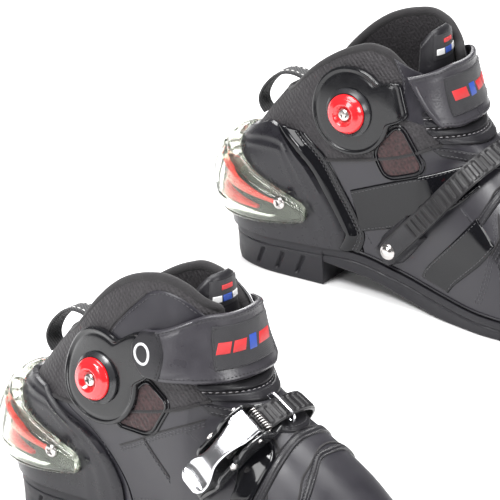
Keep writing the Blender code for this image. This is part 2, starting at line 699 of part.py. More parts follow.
    def build(self):
        self.sole()
        self.upper()
        counter, slider = self.heel()
        self.heel_fasteners(counter, slider)
        self.ankle()
        self.pull_loop()
        self.closure()
        self.band()


right = Boot("r_", 1, (0.0, 0.0))
left = Boot("l_", -1, LEFT_BOOT_FROM_RIGHT)
for boot in (right, left):
    boot.build()

bpy.context.view_layer.update()
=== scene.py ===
"""The looks of a pair of short riding boots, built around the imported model.

Every piece is drawn once in the right boot's own frame, in millimetres (X from the heel to the toe, +Y medial, Z up),
and then placed on both boots, mirrored for the left one.
"""
import math

import bmesh
import bpy
import numpy as np
from mathutils import Matrix, Vector


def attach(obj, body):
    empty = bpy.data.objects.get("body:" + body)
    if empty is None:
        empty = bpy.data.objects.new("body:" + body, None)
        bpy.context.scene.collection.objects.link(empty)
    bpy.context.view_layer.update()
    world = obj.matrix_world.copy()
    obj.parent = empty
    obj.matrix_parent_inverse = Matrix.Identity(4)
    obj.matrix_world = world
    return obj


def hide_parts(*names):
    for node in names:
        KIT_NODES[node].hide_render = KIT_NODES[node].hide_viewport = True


MM = 0.001

# ---------------------------------------------------------------- driving dimensions (mm)
BOOT_YAW_DEG = 5.0  # each boot toes out by this much
LEFT_BOOT_FROM_RIGHT = (-139.0, 453.0)  # where the left boot's heel stands, seen from the right one's
BOX_CENTRE = (64.85, 226.5)  # centre of the pair's bounding box, from the right heel
WALL = 3.5  # quarter, vamp and toe cap
COLLAR_WALL = 7.0  # padded ankle shaft
GAP = 0.5  # between sewn panels
SOLE_GAP = 0.7  # between the outsole and what stands on it
SHAFT_HALF_WIDTH = 42.0
COLLAR_TAPER = 10.0  # the collar draws in by this much on each side towards its rim
ARCH = 3.0  # how much the medial waist draws in

# front outline of a horizontal slice, by height
FRONT_X = [(8, 293), (14, 296.5), (22, 298), (30, 298), (38, 296.5), (46, 293), (57, 286), (68, 275.5), (77, 264.5),
           (86, 251.5), (95, 237.5), (105, 220), (113, 204), (120, 190), (128, 176.5), (137, 166), (150, 158.5),
           (170, 153), (190, 150), (210, 148), (235, 147), (262, 146)]
# back outline of a horizontal slice, by height
BACK_X = [(0, -4), (20, -9), (30, -12), (45, -15), (60, -16), (75, -13.5), (90, -6), (110, 7), (140, 25), (170, 33),
          (210, 41), (262, 48)]
# half width of the foot, by distance from the heel
FOOT_HALF = [(-10, 35), (60, 35), (100, 35.5), (140, 39.5), (180, 45), (210, 48.5), (240, 47), (262, 41.5),
             (280, 31), (291, 18.5), (296, 9), (298, 0.5)]
SOLE_TOP = [(-20, 27), (30, 27.5), (60, 29), (92, 31), (130, 25.5), (160, 20), (200, 15), (240, 13.5), (265, 15),
            (285, 19), (301, 24)]
SOLE_BOTTOM = [(71.7, 18), (110, 13), (140, 6), (165, 1), (180, 0), (240, 0), (260, 1.8), (280, 6.5), (301, 13)]
HEEL_UNDERCUT = [(-13.5, 20), (-11, 12.5), (-6.5, 5), (-1, 0)]
ANKLE_SEAM = [(-20, 90), (60, 96), (120, 110), (180, 136)]  # where the shaft is sewn to the lower
COLLAR_RIM = {1: [(20, 133), (30, 137), (49, 157), (68, 173), (85, 183), (100, 188), (110, 187), (121, 181),
                  (134, 173), (152, 168)],
              -1: [(20, 133), (32, 137), (44, 149), (56, 165), (71, 181), (85, 191), (100, 197), (115, 200),
                   (129, 197), (141, 189), (153, 181)]}  # medial, lateral
QUARTER_EDGE = [(10, 106), (28, 104), (45, 98), (60, 88), (80, 68), (92, 48), (104, 36)]
COUNTER_EDGE = {1: [(10, 93), (30, 91), (45, 88), (57, 82), (71, 73), (89, 60), (100, 48), (110, 34), (118, 21)],
                -1: [(10, 98), (30, 96), (45, 93), (57, 87), (70, 77), (80, 62), (87, 46), (94, 33), (102, 20)]}
COUNTER_RISE = {1: 19.0, -1: 5.0}  # how much higher the heel cup is at its front corners than at the back
TOE_SEAM_X = 232.0

DISC = {1: (91.0, 139.0), -1: (75.0, 121.0)}  # ankle joint, medial and lateral: distance from the heel, height
PLATE_RADIUS = {1: 31.5, -1: 32.0}
PLATE_TAIL = {1: (43.0, 14.0, 22.0), -1: (50.0, 15.0, 37.0)}  # reach, half width, angle above the horizontal
RING_RADIUS = 17.5
CAP_RADIUS = 14.2
HEEL_SCREW = (41.0, 61.5)
BAND_RIDGE_X = 192.0  # where the ladder crosses the ridge of the instep
BAND_ANGLE = {1: 50.0, -1: 57.0}  # how steeply the ladder (medial) and the buckle (lateral) climb
RIVET_HEIGHT = 42.0
LIFT = 2.2  # everything on the instep stands this much further off it
LADDER_WIDTH = 16.0
BUCKLE_WIDTH = 27.0
STRAP_WIDTH = 43.0
STRAP_HEIGHT = 158.0
STRAP_ENDS_X = (102.0, 139.0)  # lateral tip, medial root


# ---------------------------------------------------------------- smooth tables
def smoothed(x, table):
    """A monotone cubic through the table's points, flat-ended beyond them."""
    if x <= table[0][0]:
        return float(table[0][1])
    if x >= table[-1][0]:
        return float(table[-1][1])
    i = 0
    while table[i + 1][0] < x:
        i += 1

    def chord(k):
        return (table[k + 1][1] - table[k][1]) / (table[k + 1][0] - table[k][0])

    def slope(k):
        if k == 0:
            return chord(0)
        if k == len(table) - 1:
            return chord(k - 1)
        d0, d1 = chord(k - 1), chord(k)
        return 0.0 if d0 * d1 <= 0 else 2 * d0 * d1 / (d0 + d1)

    x0, y0 = table[i]
    x1, y1 = table[i + 1]
    h = x1 - x0
    u = (x - x0) / h
    m0, m1 = slope(i) * h, slope(i + 1) * h
    return (y0 * (2 * u**3 - 3 * u**2 + 1) + m0 * (u**3 - 2 * u**2 + u) + y1 * (3 * u**2 - 2 * u**3)
            + m1 * (u**3 - u**2))


def step(x, a, b):
    u = min(1.0, max(0.0, (x - a) / (b - a)))
    return u * u * (3 - 2 * u)


TOP_OF_X = sorted((x, z) for z, x in FRONT_X if z >= 38) + [(298, 31)]


def top_height(x):
    return 262 + (146 - x) * 10 if x <= 146 else smoothed(x, TOP_OF_X)


# ---------------------------------------------------------------- the body's surface
def centre(x):
    return 6.0 * step(x, 140, 300)


def half_width(x, z, side):
    low = smoothed(x, FOOT_HALF)
    if side > 0:
        low -= ARCH * math.exp(-(((x - 140) / 40) ** 2))
    shaft = SHAFT_HALF_WIDTH - COLLAR_TAPER * step(z, 135, 205)
    high = shaft + (low - shaft) * step(x, 150, 185)
    k = step(z, 45, 110)
    w = low * (1 - k) + high * k
    q = min(1.0, max(0.0, (z - 20) / max(1.0, top_height(x) - 20)))
    roof = (1 - q**2.3) ** (1 / 2.3)
    u = min(1.0, max(0.0, (x - (smoothed(z, FRONT_X) - 40)) / 40))
    front = (1 - u**2.2) ** (1 / 2.2)
    kf = step(z, 112, 150)
    kb = step(z, 60, 125)
    reach = 48 + 20 * kb
    power = 2.2 - 0.2 * kb
    ub = min(1.0, max(0.0, (smoothed(z, BACK_X) + reach - x) / reach))
    return w * (roof * (1 - kf) + front * kf) * (1 - ub**power) ** (1 / power)


def slice_x(a, z):
    back = smoothed(z, BACK_X)
    return back + (smoothed(z, FRONT_X) - back) * (1 + math.cos(math.pi * a)) / 2


def around(a, z):
    """A point of the surface: a is 0 at the front and 1 or -1 at the back, positive on the medial side."""
    while a > 1:
        a -= 2
    while a < -1:
        a += 2
    x = slice_x(a, z)
    side = 1 if a >= 0 else -1
    return Vector((x, centre(x) + side * half_width(x, z, side), z))


def around_normal(a, z):
    da, dz = 0.004, 0.6
    n = (around(a + da, z) - around(a - da, z)).cross(around(a, z + dz) - around(a, z - dz))
    return n.normalized()


def off_body(a, z, distance):
    return around(a, z) + around_normal(a, z) * distance


def on_side(x, z, side, distance):
    """A point over the side of the body at this distance from the heel and height."""
    y = half_width(x, z, side)
    dx = (half_width(x + 0.4, z, side) - half_width(x - 0.4, z, side)) / 0.8
    dz = (half_width(x, z + 0.4, side) - half_width(x, z - 0.4, side)) / 0.8
    n = Vector((-dx, side, -dz)).normalized()
    return Vector((x, centre(x) + side * y, z)) + n * distance, n


def a_at(x, z):
    """The position round the slice whose distance from the heel is x."""
    back = smoothed(z, BACK_X)
    f = (x - back) / (smoothed(z, FRONT_X) - back)
    return math.acos(min(1.0, max(-1.0, 2 * f - 1))) / math.pi


def settle(line, a, start, lift=0.0):
    """The height at which the slice position a meets a line given as height by distance from the heel."""
    z = start
    for _ in range(30):
        z += 0.5 * (smoothed(slice_x(a(z) if callable(a) else a, z), line) + lift - z)
    return z



BAND_CACHE = {}


def band_line(q):
    """Points over the instep where the ladder and the buckle lie, q mm in front of their middle, from the medial
    foot over the ridge to the lateral foot, with their lengths along the band."""
    x0 = BAND_RIDGE_X + 0.82 * q
    z0 = top_height(x0)
    points = []
    for side in (1, -1):
        slope = math.radians(BAND_ANGLE[side])
        run = [115 * (i / 60) ** 2.2 for i in range(61)]
        line = []
        for r in run:
            x, z = x0 - r * math.cos(slope), z0 - r * math.sin(slope)
            y = half_width(x, z, side) if r > 0 else 0.0
            line.append(Vector((x, centre(x) + side * y, z)))
        points += line[::-1] if side > 0 else line[1:]
    lengths = [0.0]
    for first, second in zip(points, points[1:]):
        lengths.append(lengths[-1] + (second - first).length)
    top = lengths[60]
    return points, [s - top for s in lengths]


def band_at(s, q):
    """A point s mm past the ridge on the lateral side (negative is medial) and q mm forwards."""
    if q not in BAND_CACHE:
        BAND_CACHE[q] = band_line(q)
    points, lengths = BAND_CACHE[q]
    i = 0
    while i < len(lengths) - 2 and lengths[i + 1] < s:
        i += 1
    u = (s - lengths[i]) / (lengths[i + 1] - lengths[i])
    return points[i].lerp(points[i + 1], u)


def band_frame(s):
    """Point, along, across and normal directions in the middle of the band."""
    point = (band_at(s - 3, 0) + band_at(s + 3, 0)) / 2
    along = (band_at(s + 6, 0) - band_at(s - 6, 0)).normalized()
    across = (band_at(s, 8) - band_at(s, -8)).normalized()
    normal = along.cross(across).normalized()
    if normal.dot(point - Vector((point.x, centre(point.x), 40))) < 0:
        normal = -normal
    across = normal.cross(along).normalized()
    return band_at(s, 0), along, across, normal


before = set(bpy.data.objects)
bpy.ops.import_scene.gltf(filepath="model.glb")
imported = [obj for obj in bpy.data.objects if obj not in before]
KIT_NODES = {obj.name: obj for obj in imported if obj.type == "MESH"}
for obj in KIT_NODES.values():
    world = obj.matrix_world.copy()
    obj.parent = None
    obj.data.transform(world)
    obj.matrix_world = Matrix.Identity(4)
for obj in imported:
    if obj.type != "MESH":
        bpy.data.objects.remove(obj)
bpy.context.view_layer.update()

# ================================================================ the body's surface as a lattice
AG = np.linspace(-1.0, 1.0, 481)
ZG = np.arange(8.0, 216.0, 1.0)
LAT = np.array([[tuple(around(a, z)) for z in ZG] for a in AG])
FZ = np.array([smoothed(z, FRONT_X) for z in ZG])
BZ = np.array([smoothed(z, BACK_X) for z in ZG])
_ext = np.concatenate([LAT[-3:-1], LAT, LAT[1:3]], axis=0)
_da = (_ext[4:] - _ext[:-4])[:, :, :]
_dz = np.gradient(LAT, axis=1)
NOR = np.cross(_da, _dz)
NOR /= np.maximum(1e-9, np.linalg.norm(NOR, axis=2, keepdims=True))


def surf(a, z, d=0.0):
    """Points d mm off the body at slice position a and height z, as an (n, 3) array."""
    a, z = np.broadcast_arrays(np.asarray(a, float), np.asarray(z, float))
    shape = a.shape
    a = (a.ravel() + 1) % 2 - 1
    z = z.ravel()
    d = np.broadcast_to(np.asarray(d, float), shape).ravel()
    fa = (a + 1) / 2 * (len(AG) - 1)
    ia = np.clip(fa.astype(int), 0, len(AG) - 2)
    ua = (fa - ia)[:, None]
    fz = np.clip(z - ZG[0], 0, len(ZG) - 1.001)
    iz = fz.astype(int)
    uz = (fz - iz)[:, None]
    out = []
    for g in (LAT, NOR):
        out.append((g[ia, iz] * (1 - ua) + g[ia + 1, iz] * ua) * (1 - uz)
                   + (g[ia, iz + 1] * (1 - ua) + g[ia + 1, iz + 1] * ua) * uz)
    n = out[1] / np.maximum(1e-9, np.linalg.norm(out[1], axis=1, keepdims=True))
    return (out[0] + n * d[:, None]).reshape(*shape, 3)


def normal(a, z):
    return surf(a, z, 1.0) - surf(a, z, 0.0)


def a_of(x, z):
    x, z = np.asarray(x, float), np.asarray(z, float)
    front, back = np.interp(z, ZG, FZ), np.interp(z, ZG, BZ)
    return np.arccos(np.clip(2 * (x - back) / (front - back) - 1, -1, 1)) / math.pi


def x_of(a, z):
    front, back = np.interp(z, ZG, FZ), np.interp(z, ZG, BZ)
    return back + (front - back) * (1 + np.cos(math.pi * np.asarray(a))) / 2


def meet(table, a, start, lift=0.0):
    """Heights at which slice positions a meet a line given as height by distance from the heel."""
    xs = np.linspace(-20, 310, 661)
    ys = np.array([smoothed(x, table) for x in xs])
    z = np.full(np.shape(a), float(start))
    for _ in range(40):
        z += 0.5 * (np.interp(x_of(a, z), xs, ys) + lift - z)
    return z


def table(x, pairs):
    return np.array([smoothed(float(v), pairs) for v in np.atleast_1d(x)])


def flow(points, per=12, closed=False):
    """A smooth curve through 2-D points."""
    p = np.array(points, float)
    n = len(p)
    out = []
    for i in range(n if closed else n - 1):
        p0 = p[(i - 1) % n] if closed or i > 0 else 2 * p[0] - p[1]
        p1, p2 = p[i], p[(i + 1) % n]
        p3 = p[(i + 2) % n] if closed or i + 2 < n else 2 * p[-1] - p[-2]
        for t in np.arange(per) / per:
            out.append(0.5 * (2 * p1 + (p2 - p0) * t + (2 * p0 - 5 * p1 + 4 * p2 - p3) * t * t
                              + (3 * p1 - p0 - 3 * p2 + p3) * t**3))
    if not closed:
        out.append(p[-1])
    return np.array(out)


def rounded(points, times=3):
    """A closed outline with its corners cut smooth."""
    p = np.array(points, float)
    for _ in range(times + 1):
        q = np.roll(p, -1, axis=0)
        p = np.stack([0.75 * p + 0.25 * q, 0.25 * p + 0.75 * q], axis=1).reshape(-1, 2)
    return p


def even(points, step_mm=None, count=None, closed=False):
    """Resamples a path at equal steps."""
    p = np.array(points, float)
    if closed:
        p = np.vstack([p, p[:1]])
    lengths = np.concatenate([[0], np.cumsum(np.linalg.norm(np.diff(p, axis=0), axis=1))])
    if count is None:
        count = max(2, int(round(lengths[-1] / step_mm)) + 1)
    s = np.linspace(0, lengths[-1], count, endpoint=not closed)
    return np.stack([np.interp(s, lengths, p[:, k]) for k in range(p.shape[1])], axis=1)


# ================================================================ collecting pieces
PIECES = []


def piece(name, verts, faces, mat, body="boot", replaces=(), sharp=38, bevel=0.0, padded=False):
    PIECES.append(dict(name=name, verts=np.asarray(verts, float).reshape(-1, 3), faces=faces, mat=mat, body=body,
                       replaces=replaces, sharp=sharp, bevel=bevel, padded=padded))


def grid_faces(rows, cols, wrap, start=0, flip=False):
    faces = []
    for i in range(rows - 1):
        for j in range(cols if wrap else cols - 1):
            k = (j + 1) % cols
            f = (start + i * cols + j, start + i * cols + k, start + (i + 1) * cols + k, start + (i + 1) * cols + j)
            faces.append(f[::-1] if flip else f)
    return faces


def slab(name, outer, inner, mat, wrap=False, **kw):
    """A closed solid between two equal grids of points."""
    outer, inner = np.asarray(outer), np.asarray(inner)
    rows, cols = outer.shape[:2]
    off = rows * cols
    faces = grid_faces(rows, cols, wrap) + grid_faces(rows, cols, wrap, off, True)
    t = (rows - 1) * cols
    for j in range(cols if wrap else cols - 1):
        k = (j + 1) % cols
        faces.append((k, j, off + j, off + k))
        faces.append((t + j, t + k, off + t + k, off + t + j))
    if not wrap:
        for i in range(rows - 1):
            a, b = i * cols, (i + 1) * cols
            faces.append((a, b, off + b, off + a))
            faces.append((b + cols - 1, a + cols - 1, off + a + cols - 1, off + b + cols - 1))
    piece(name, np.concatenate([outer.reshape(-1, 3), inner.reshape(-1, 3)]), faces, mat, **kw)


def blob(name, side, outline, mat, base=0.0, lift=1.2, roll=1.6, dome=0.0, count=96, extra=None, mapper=None, **kw):
    """A panel inside an outline of (x, z) points on one side of the boot, with rolled edges."""
    edge = even(outline, count=count, closed=True)
    centre_pt = edge.mean(axis=0)
    spoke = np.linalg.norm(edge - centre_pt, axis=1)
    mean = spoke.mean()
    w = min(0.6, roll / mean)
    shares = [1.0, 1 - 0.08 * w, 1 - 0.3 * w, 1 - 0.6 * w, 1 - w]
    inner_rings = max(3, int(mean / 3.0))
    shares += list(np.linspace(1 - w, 0.06, inner_rings + 1)[1:])
    outer, inner = [], []
    for r in shares:
        pts = centre_pt + (edge - centre_pt) * r
        gap = (1 - r) * spoke
        h = np.sqrt(np.clip(1 - (1 - np.clip(gap / roll, 0, 1)) ** 2, 0, 1))
        height = base + lift * h + dome * (1 - r**2)
        if extra is not None:
            height = height + extra(pts, gap, r)
        if mapper is None:
            a = side * a_of(pts[:, 0], pts[:, 1])
            outer.append(surf(a, pts[:, 1], height))
            inner.append(surf(a, pts[:, 1], base - 0.6))
        else:
            outer.append(mapper(pts, height))
            inner.append(mapper(pts, np.full(len(pts), base - 0.6)))
    outer, inner = np.array(outer), np.array(inner)
    rows, cols = outer.shape[:2]
    off = rows * cols
    faces = grid_faces(rows, cols, True) + grid_faces(rows, cols, True, off, True)
    verts = np.concatenate([outer.reshape(-1, 3), inner.reshape(-1, 3), outer[-1].mean(axis=0)[None],
                            inner[-1].mean(axis=0)[None]])
    c0, c1 = 2 * off, 2 * off + 1
    for j in range(cols):
        k = (j + 1) % cols
        faces.append((k, j, off + j, off + k))
        t = (rows - 1) * cols
        faces.append((t + j, t + k, c0))
        faces.append((off + t + k, off + t + j, c1))
    piece(name, verts, faces, mat, **kw)
    return edge


def ribbon(name, side, low, high, mat, base=0.0, lift=1.2, roll=1.6, cols=70, rows=14, extra=None, **kw):
    """A panel between two smooth lines of (x, z) points (or (a, z) points when side is 0), with rolled edges."""
    lo, hi = even(flow(low), count=cols), even(flow(high), count=cols)
    if side:
        to3 = lambda p, h: surf(side * a_of(p[:, 0], p[:, 1]), p[:, 1], h)
    else:
        to3 = lambda p, h: surf(p[:, 0], p[:, 1], h)
    ends = np.linalg.norm(np.diff(to3((lo + hi) / 2, 0), axis=0), axis=1)
    along = np.concatenate([[0], np.cumsum(ends)])
    width = np.linalg.norm(to3(lo, 0) - to3(hi, 0), axis=1)
    edge = np.array([0, 0.08, 0.3, 0.6, 1.0]) * roll
    mean = max(2.2 * roll, width.mean())
    vs = list(edge / mean) + list(np.linspace(roll / mean, 1 - roll / mean, max(3, rows - 8))[1:-1]) \
        + list(1 - edge[::-1] / mean)
    outer, inner = [], []
    for v in vs:
        p = lo + (hi - lo) * v
        gap = np.minimum.reduce([v * width, (1 - v) * width, along, along[-1] - along])
        h = np.sqrt(np.clip(1 - (1 - np.clip(gap / roll, 0, 1)) ** 2, 0, 1))
        height = base + lift * h
        if extra is not None:
            height = height + extra(p, v)
        outer.append(to3(p, height))
        inner.append(to3(p, np.full(len(p), base - 0.6)))
    slab(name, outer, inner, mat, **kw)


def tube_mesh(path, normals, radius, sides=8, flat=1.0, closed=False, taper=0.0):
    path, normals = np.asarray(path), np.asarray(normals)
    n = len(path)
    tangent = np.gradient(path, axis=0) if not closed else (np.roll(path, -1, 0) - np.roll(path, 1, 0))
    tangent /= np.maximum(1e-9, np.linalg.norm(tangent, axis=1, keepdims=True))
    side_dir = np.cross(tangent, normals)
    side_dir /= np.maximum(1e-9, np.linalg.norm(side_dir, axis=1, keepdims=True))
    up = np.cross(side_dir, tangent)
    r = np.full(n, radius)
    if taper and not closed:
        s = np.minimum(np.arange(n), np.arange(n)[::-1]) / max(1, taper)
        r = r * np.sqrt(np.clip(1 - (1 - np.clip(s + 0.15, 0, 1)) ** 2, 0.05, 1))
    ang = np.arange(sides) * 2 * math.pi / sides
    verts = (path[:, None] + side_dir[:, None] * (np.cos(ang)[None, :, None] * r[:, None, None])
             + up[:, None] * (np.sin(ang)[None, :, None] * r[:, None, None] * flat))
    faces = grid_faces(n, sides, True)
    if closed:
        t = (n - 1) * sides
        for j in range(sides):
            k = (j + 1) % sides
            faces.append((t + j, t + k, k, j))
    else:
        faces.append(tuple(range(sides))[::-1])
        faces.append(tuple((n - 1) * sides + j for j in range(sides)))
    return verts.reshape(-1, 3), faces


def trail(side, points, d, step_mm=1.5, closed=False, smooth=True):
    """A path over the body: its points and normals."""
    p = flow(points, closed=closed) if smooth else np.array(points, float)
    a = side * a_of(p[:, 0], p[:, 1]) if side else p[:, 0]
    z = p[:, 1]
    xyz = surf(a, z, d)
    both = np.concatenate([xyz, normal(a, z)], axis=1)
    if closed:
        both = np.vstack([both, both[:1]])
    lengths = np.concatenate([[0], np.cumsum(np.linalg.norm(np.diff(both[:, :3], axis=0), axis=1))])
    count = max(3, int(round(lengths[-1] / step_mm)) + 1)
    s = np.linspace(0, lengths[-1], count, endpoint=not closed)
    both = np.stack([np.interp(s, lengths, both[:, k]) for k in range(6)], axis=1)
    n = both[:, 3:] / np.linalg.norm(both[:, 3:], axis=1, keepdims=True)
    return both[:, :3], n


def piping(name, side, points, mat, d=0.3, radius=0.9, flat=0.8, closed=False, smooth=True, **kw):
    path, n = trail(side, points, d, 1.6, closed, smooth)
    verts, faces = tube_mesh(path, n, radius, 8, flat, closed, taper=0 if closed else 2)
    piece(name, verts, faces, mat, **kw)


THREADS = {}


def stitches(path, normals, thread="thread", body="boot", length=2.1, pitch=3.1, radius=0.3, group="seams"):
    """Short rounded threads laid along a path."""
    path, normals = np.asarray(path), np.asarray(normals)
    lengths = np.concatenate([[0], np.cumsum(np.linalg.norm(np.diff(path, axis=0), axis=1))])
    store = THREADS.setdefault((thread, body, group), [[], []])
    count = int(lengths[-1] / pitch)
    for i in range(count):
        s0 = (i + 0.5) * lengths[-1] / count - length / 2
        ss = s0 + np.array([0, 0.18, 0.5, 0.82, 1.0]) * length
        p = np.stack([np.interp(ss, lengths, path[:, k]) for k in range(3)], axis=1)
        n = np.stack([np.interp(ss, lengths, normals[:, k]) for k in range(3)], axis=1)
        n /= np.linalg.norm(n, axis=1, keepdims=True)
        p = p + n * (radius * np.array([-0.6, 0.35, 0.6, 0.35, -0.6]))[:, None]
        t = p[-1] - p[0]
        t /= np.linalg.norm(t)
        sd = np.cross(t, n)
        rr = radius * np.array([0.45, 0.9, 1.0, 0.9, 0.45])
        ang = np.arange(6) * math.pi / 3
        ring = (p[:, None] + sd[:, None] * (np.cos(ang)[None, :, None] * rr[:, None, None])
                + n[:, None] * (np.sin(ang)[None, :, None] * rr[:, None, None]))
        base = len(store[0]) * 30
        store[0].append(ring.reshape(-1, 3))
        store[1] += grid_faces(5, 6, True, base)
        store[1].append(tuple(base + j for j in range(6))[::-1])
        store[1].append(tuple(base + 24 + j for j in range(6)))


def sew(side, points, d, closed=False, smooth=True, **kw):
    path, n = trail(side, points, d, 0.8, closed, smooth)
    stitches(path, n, **kw)


def inset(outline, by):
    """An outline moved inwards."""
    p = np.asarray(outline)
    t = np.roll(p, -1, 0) - np.roll(p, 1, 0)
    t /= np.maximum(1e-9, np.linalg.norm(t, axis=1, keepdims=True))
    n = np.stack([-t[:, 1], t[:, 0]], axis=1)
    if np.mean(np.sum(n * (p - p.mean(axis=0)), axis=1)) > 0:
        n = -n
    return p + n * by


def turned(name, profile, seat, axis, mat, steps=48, body="boot", **kw):
    """A turned piece from a closed (radius, height) profile that starts and ends on the axis or closes on itself."""
    axis = np.array(axis, float) / np.linalg.norm(axis)
    ref = np.array([0, 0, 1.0]) if abs(axis[2]) < 0.9 else np.array([1.0, 0, 0])
    u = np.cross(ref, axis)
    u /= np.linalg.norm(u)
    v = np.cross(axis, u)
    prof = np.array(profile, float)
    loop = prof[0][0] > 1e-6
    ang = np.arange(steps) * 2 * math.pi / steps
    rows = []
    for r, h in prof:
        rr = max(r, 0.02)
        rows.append(np.array(seat) + axis * h + (u[None] * np.cos(ang)[:, None] + v[None] * np.sin(ang)[:, None]) * rr)
    n = len(prof)
    faces = grid_faces(n, steps, True)
    if loop:
        t = (n - 1) * steps
        for j in range(steps):
            k = (j + 1) % steps
            faces.append((t + j, t + k, k, j))
    else:
        faces.append(tuple(range(steps))[::-1])
        faces.append(tuple((n - 1) * steps + j for j in range(steps)))
    piece(name, np.array(rows), faces, mat, body=body, **kw)


def arc(r0, h0, r1, h1, bulge, n=6):
    """Points of a profile from one corner to the next, bulging outwards."""
    t = np.linspace(0, 1, n)
    p = np.stack([r0 + (r1 - r0) * t, h0 + (h1 - h0) * t], axis=1)
    d = np.array([h1 - h0, -(r1 - r0)], float)
    d /= max(1e-9, np.linalg.norm(d))
    return [tuple(q) for q in p + d * (bulge * 4 * t * (1 - t))[:, None]]


def screw_head(name, seat, axis, radius, height, mat, rim=0.5, turn=0.4, body="boot", replaces=()):
    """A pan head with a cross recess."""
    axis = np.array(axis, float) / np.linalg.norm(axis)
    ref = np.array([0, 0, 1.0])
    u = np.cross(ref, axis)
    u /= np.linalg.norm(u)
    v = np.cross(axis, u)
    steps, rings = 64, 15
    ang = np.arange(steps) * 2 * math.pi / steps + turn
    rows = [np.array(seat) + axis * -4.0 + (u[None] * np.cos(ang)[:, None] + v[None] * np.sin(ang)[:, None]) * radius * 0.5,
            np.array(seat) + (u[None] * np.cos(ang)[:, None] + v[None] * np.sin(ang)[:, None]) * radius * 0.5,
            np.array(seat) + (u[None] * np.cos(ang)[:, None] + v[None] * np.sin(ang)[:, None]) * radius]
    for i in range(rings):
        share = 1 - i / (rings - 1) * 0.97
        r = radius * share
        h = rim + (height - rim) * math.sqrt(max(0.0, 1 - share**2.4))
        x, y = np.cos(ang - turn) * r, np.sin(ang - turn) * r
        arm, reach = radius * 0.13, radius * 0.56
        taper = np.maximum(np.abs(x), np.abs(y)) / reach
        hit = ((np.abs(x) < arm * (1.5 - 0.6 * taper)) | (np.abs(y) < arm * (1.5 - 0.6 * taper))) & (taper < 1)
        hh = np.where(hit, h - height * 0.85 * np.clip(1.25 - taper, 0, 1), h)
        rows.append(np.array(seat) + axis * hh[:, None]
                    + (u[None] * np.cos(ang)[:, None] + v[None] * np.sin(ang)[:, None]) * r)
    n = len(rows)
    faces = grid_faces(n, steps, True)
    faces.append(tuple(range(steps))[::-1])
    faces.append(tuple((n - 1) * steps + j for j in range(steps)))
    piece(name, np.array(rows), faces, mat, body=body, replaces=replaces, sharp=30)


# ================================================================ the skins of the upper
ZT = lambda lo, hi, n: lo[None] + (hi - lo)[None] * np.linspace(0, 1, n)[:, None]
smooth01 = lambda x, a, b: (lambda u: u * u * (3 - 2 * u))(np.clip((np.asarray(x, float) - a) / (b - a), 0, 1))
EDGE_A = np.array([float(a_of(smoothed(z, QUARTER_EDGE), z)) for z in ZG])


def edge_a(z):
    return np.interp(z, ZG, EDGE_A)


def column_heights(line, a_fn, start, lift):
    xs = np.linspace(-20, 310, 661)
    ys = np.array([smoothed(x, line) for x in xs])
    z = start.copy()
    for _ in range(40):
        z = z + 0.5 * (np.interp(x_of(a_fn(z), z), xs, ys) + lift - z)
    return z


def skin(name, c, back, rows, keep=None):
    sgn = np.where(c >= 0, 1.0, -1.0)
    fn = (lambda z: sgn * (1 - np.abs(c) * (1 - edge_a(z) - 0.0016))) if back else (lambda z: c * (edge_a(z) - 0.0016))
    lo = column_heights(SOLE_TOP, fn, np.full(len(c), 20.0), SOLE_GAP)
    hi = column_heights(ANKLE_SEAM, fn, np.full(len(c), 100.0), -GAP)
    z = ZT(lo, hi, rows)
    a = np.array([fn(row) for row in z])
    return a, z


a, z = skin("quarter", np.linspace(1, -1, 161), True, 60)
slab("quarter_skin", surf(a, z, 0), surf(a, z, -WALL), "satin", replaces=("quarter",))
a, z = skin("vamp", np.linspace(-1, 1, 241), False, 90)
x = x_of(a, z)
seam = TOE_SEAM_X - 0.35 * (z - 20)
share = np.linspace(0, 1, 90)[:, None] * np.ones(241)[None]


def toe_split(front):
    """The vamp runs back from the toe seam and the toe cap runs forward from it, each remeshed along its columns."""
    a0, z0 = a, z
    out_a, out_z = [], []
    for j in range(a0.shape[1]):
        m = x_of(a0[:, j], z0[:, j]) - (TOE_SEAM_X - 0.35 * (z0[:, j] - 20))
        cross = np.where(m[:-1] * m[1:] < 0)[0]
        if m.max() < 0:
            lo, hi = (None, None) if front else (0.0, 89.0)
        else:
            k = cross[-1] + m[cross[-1]] / (m[cross[-1]] - m[cross[-1] + 1]) if len(cross) else 89.0
            lo, hi = (0.0, k) if front else (k, 89.0)
        if lo is None:
            continue
        t = np.linspace(lo, hi, 70)
        out_a.append(np.interp(t, np.arange(90), a0[:, j]))
        out_z.append(np.interp(t, np.arange(90), z0[:, j]))
    return np.array(out_a).T, np.array(out_z).T


for name, front in (("vamp", False), ("toe_cap", True)):
    aa, zz = toe_split(front)
    slab(name + "_skin", surf(aa, zz, 0), surf(aa, zz, -WALL), "satin", replaces=(name,))

# the padded collar, with a soft roll inside its rim
edge = 0.085
cols = np.concatenate([np.linspace(edge, 1, 121), np.linspace(-1, -edge, 121)[1:]])
lo = meet(ANKLE_SEAM, cols, 110, GAP)
hi = np.where(cols >= 0, meet(COLLAR_RIM[1], cols, 190), meet(COLLAR_RIM[-1], cols, 190))
RIM_A, RIM_Z = cols, hi
v = np.linspace(0, 1, 46)
z = lo[None] + (hi - lo - 2.5)[None] * v[:, None]
a = np.broadcast_to(cols[None], z.shape)
puff = 0.9 * np.sin(math.pi * np.clip(v, 0, 1))[:, None] ** 1.5 * smooth01(np.abs(a), 0.1, 0.3)
puff = puff - 1.6 * smooth01(v, 0.9, 1.0)[:, None]
slab("collar", surf(a, z, puff * 0.6), surf(a, z, -COLLAR_WALL + 0.9), "mesh", replaces=("shaft",), padded=True)
path = surf(cols, hi - 2.6, -3.3)
nn = normal(cols, hi - 2.6)
front_m = np.linspace(hi[0] - 3, max(lo[0] + 4, 150), 16)[::-1]
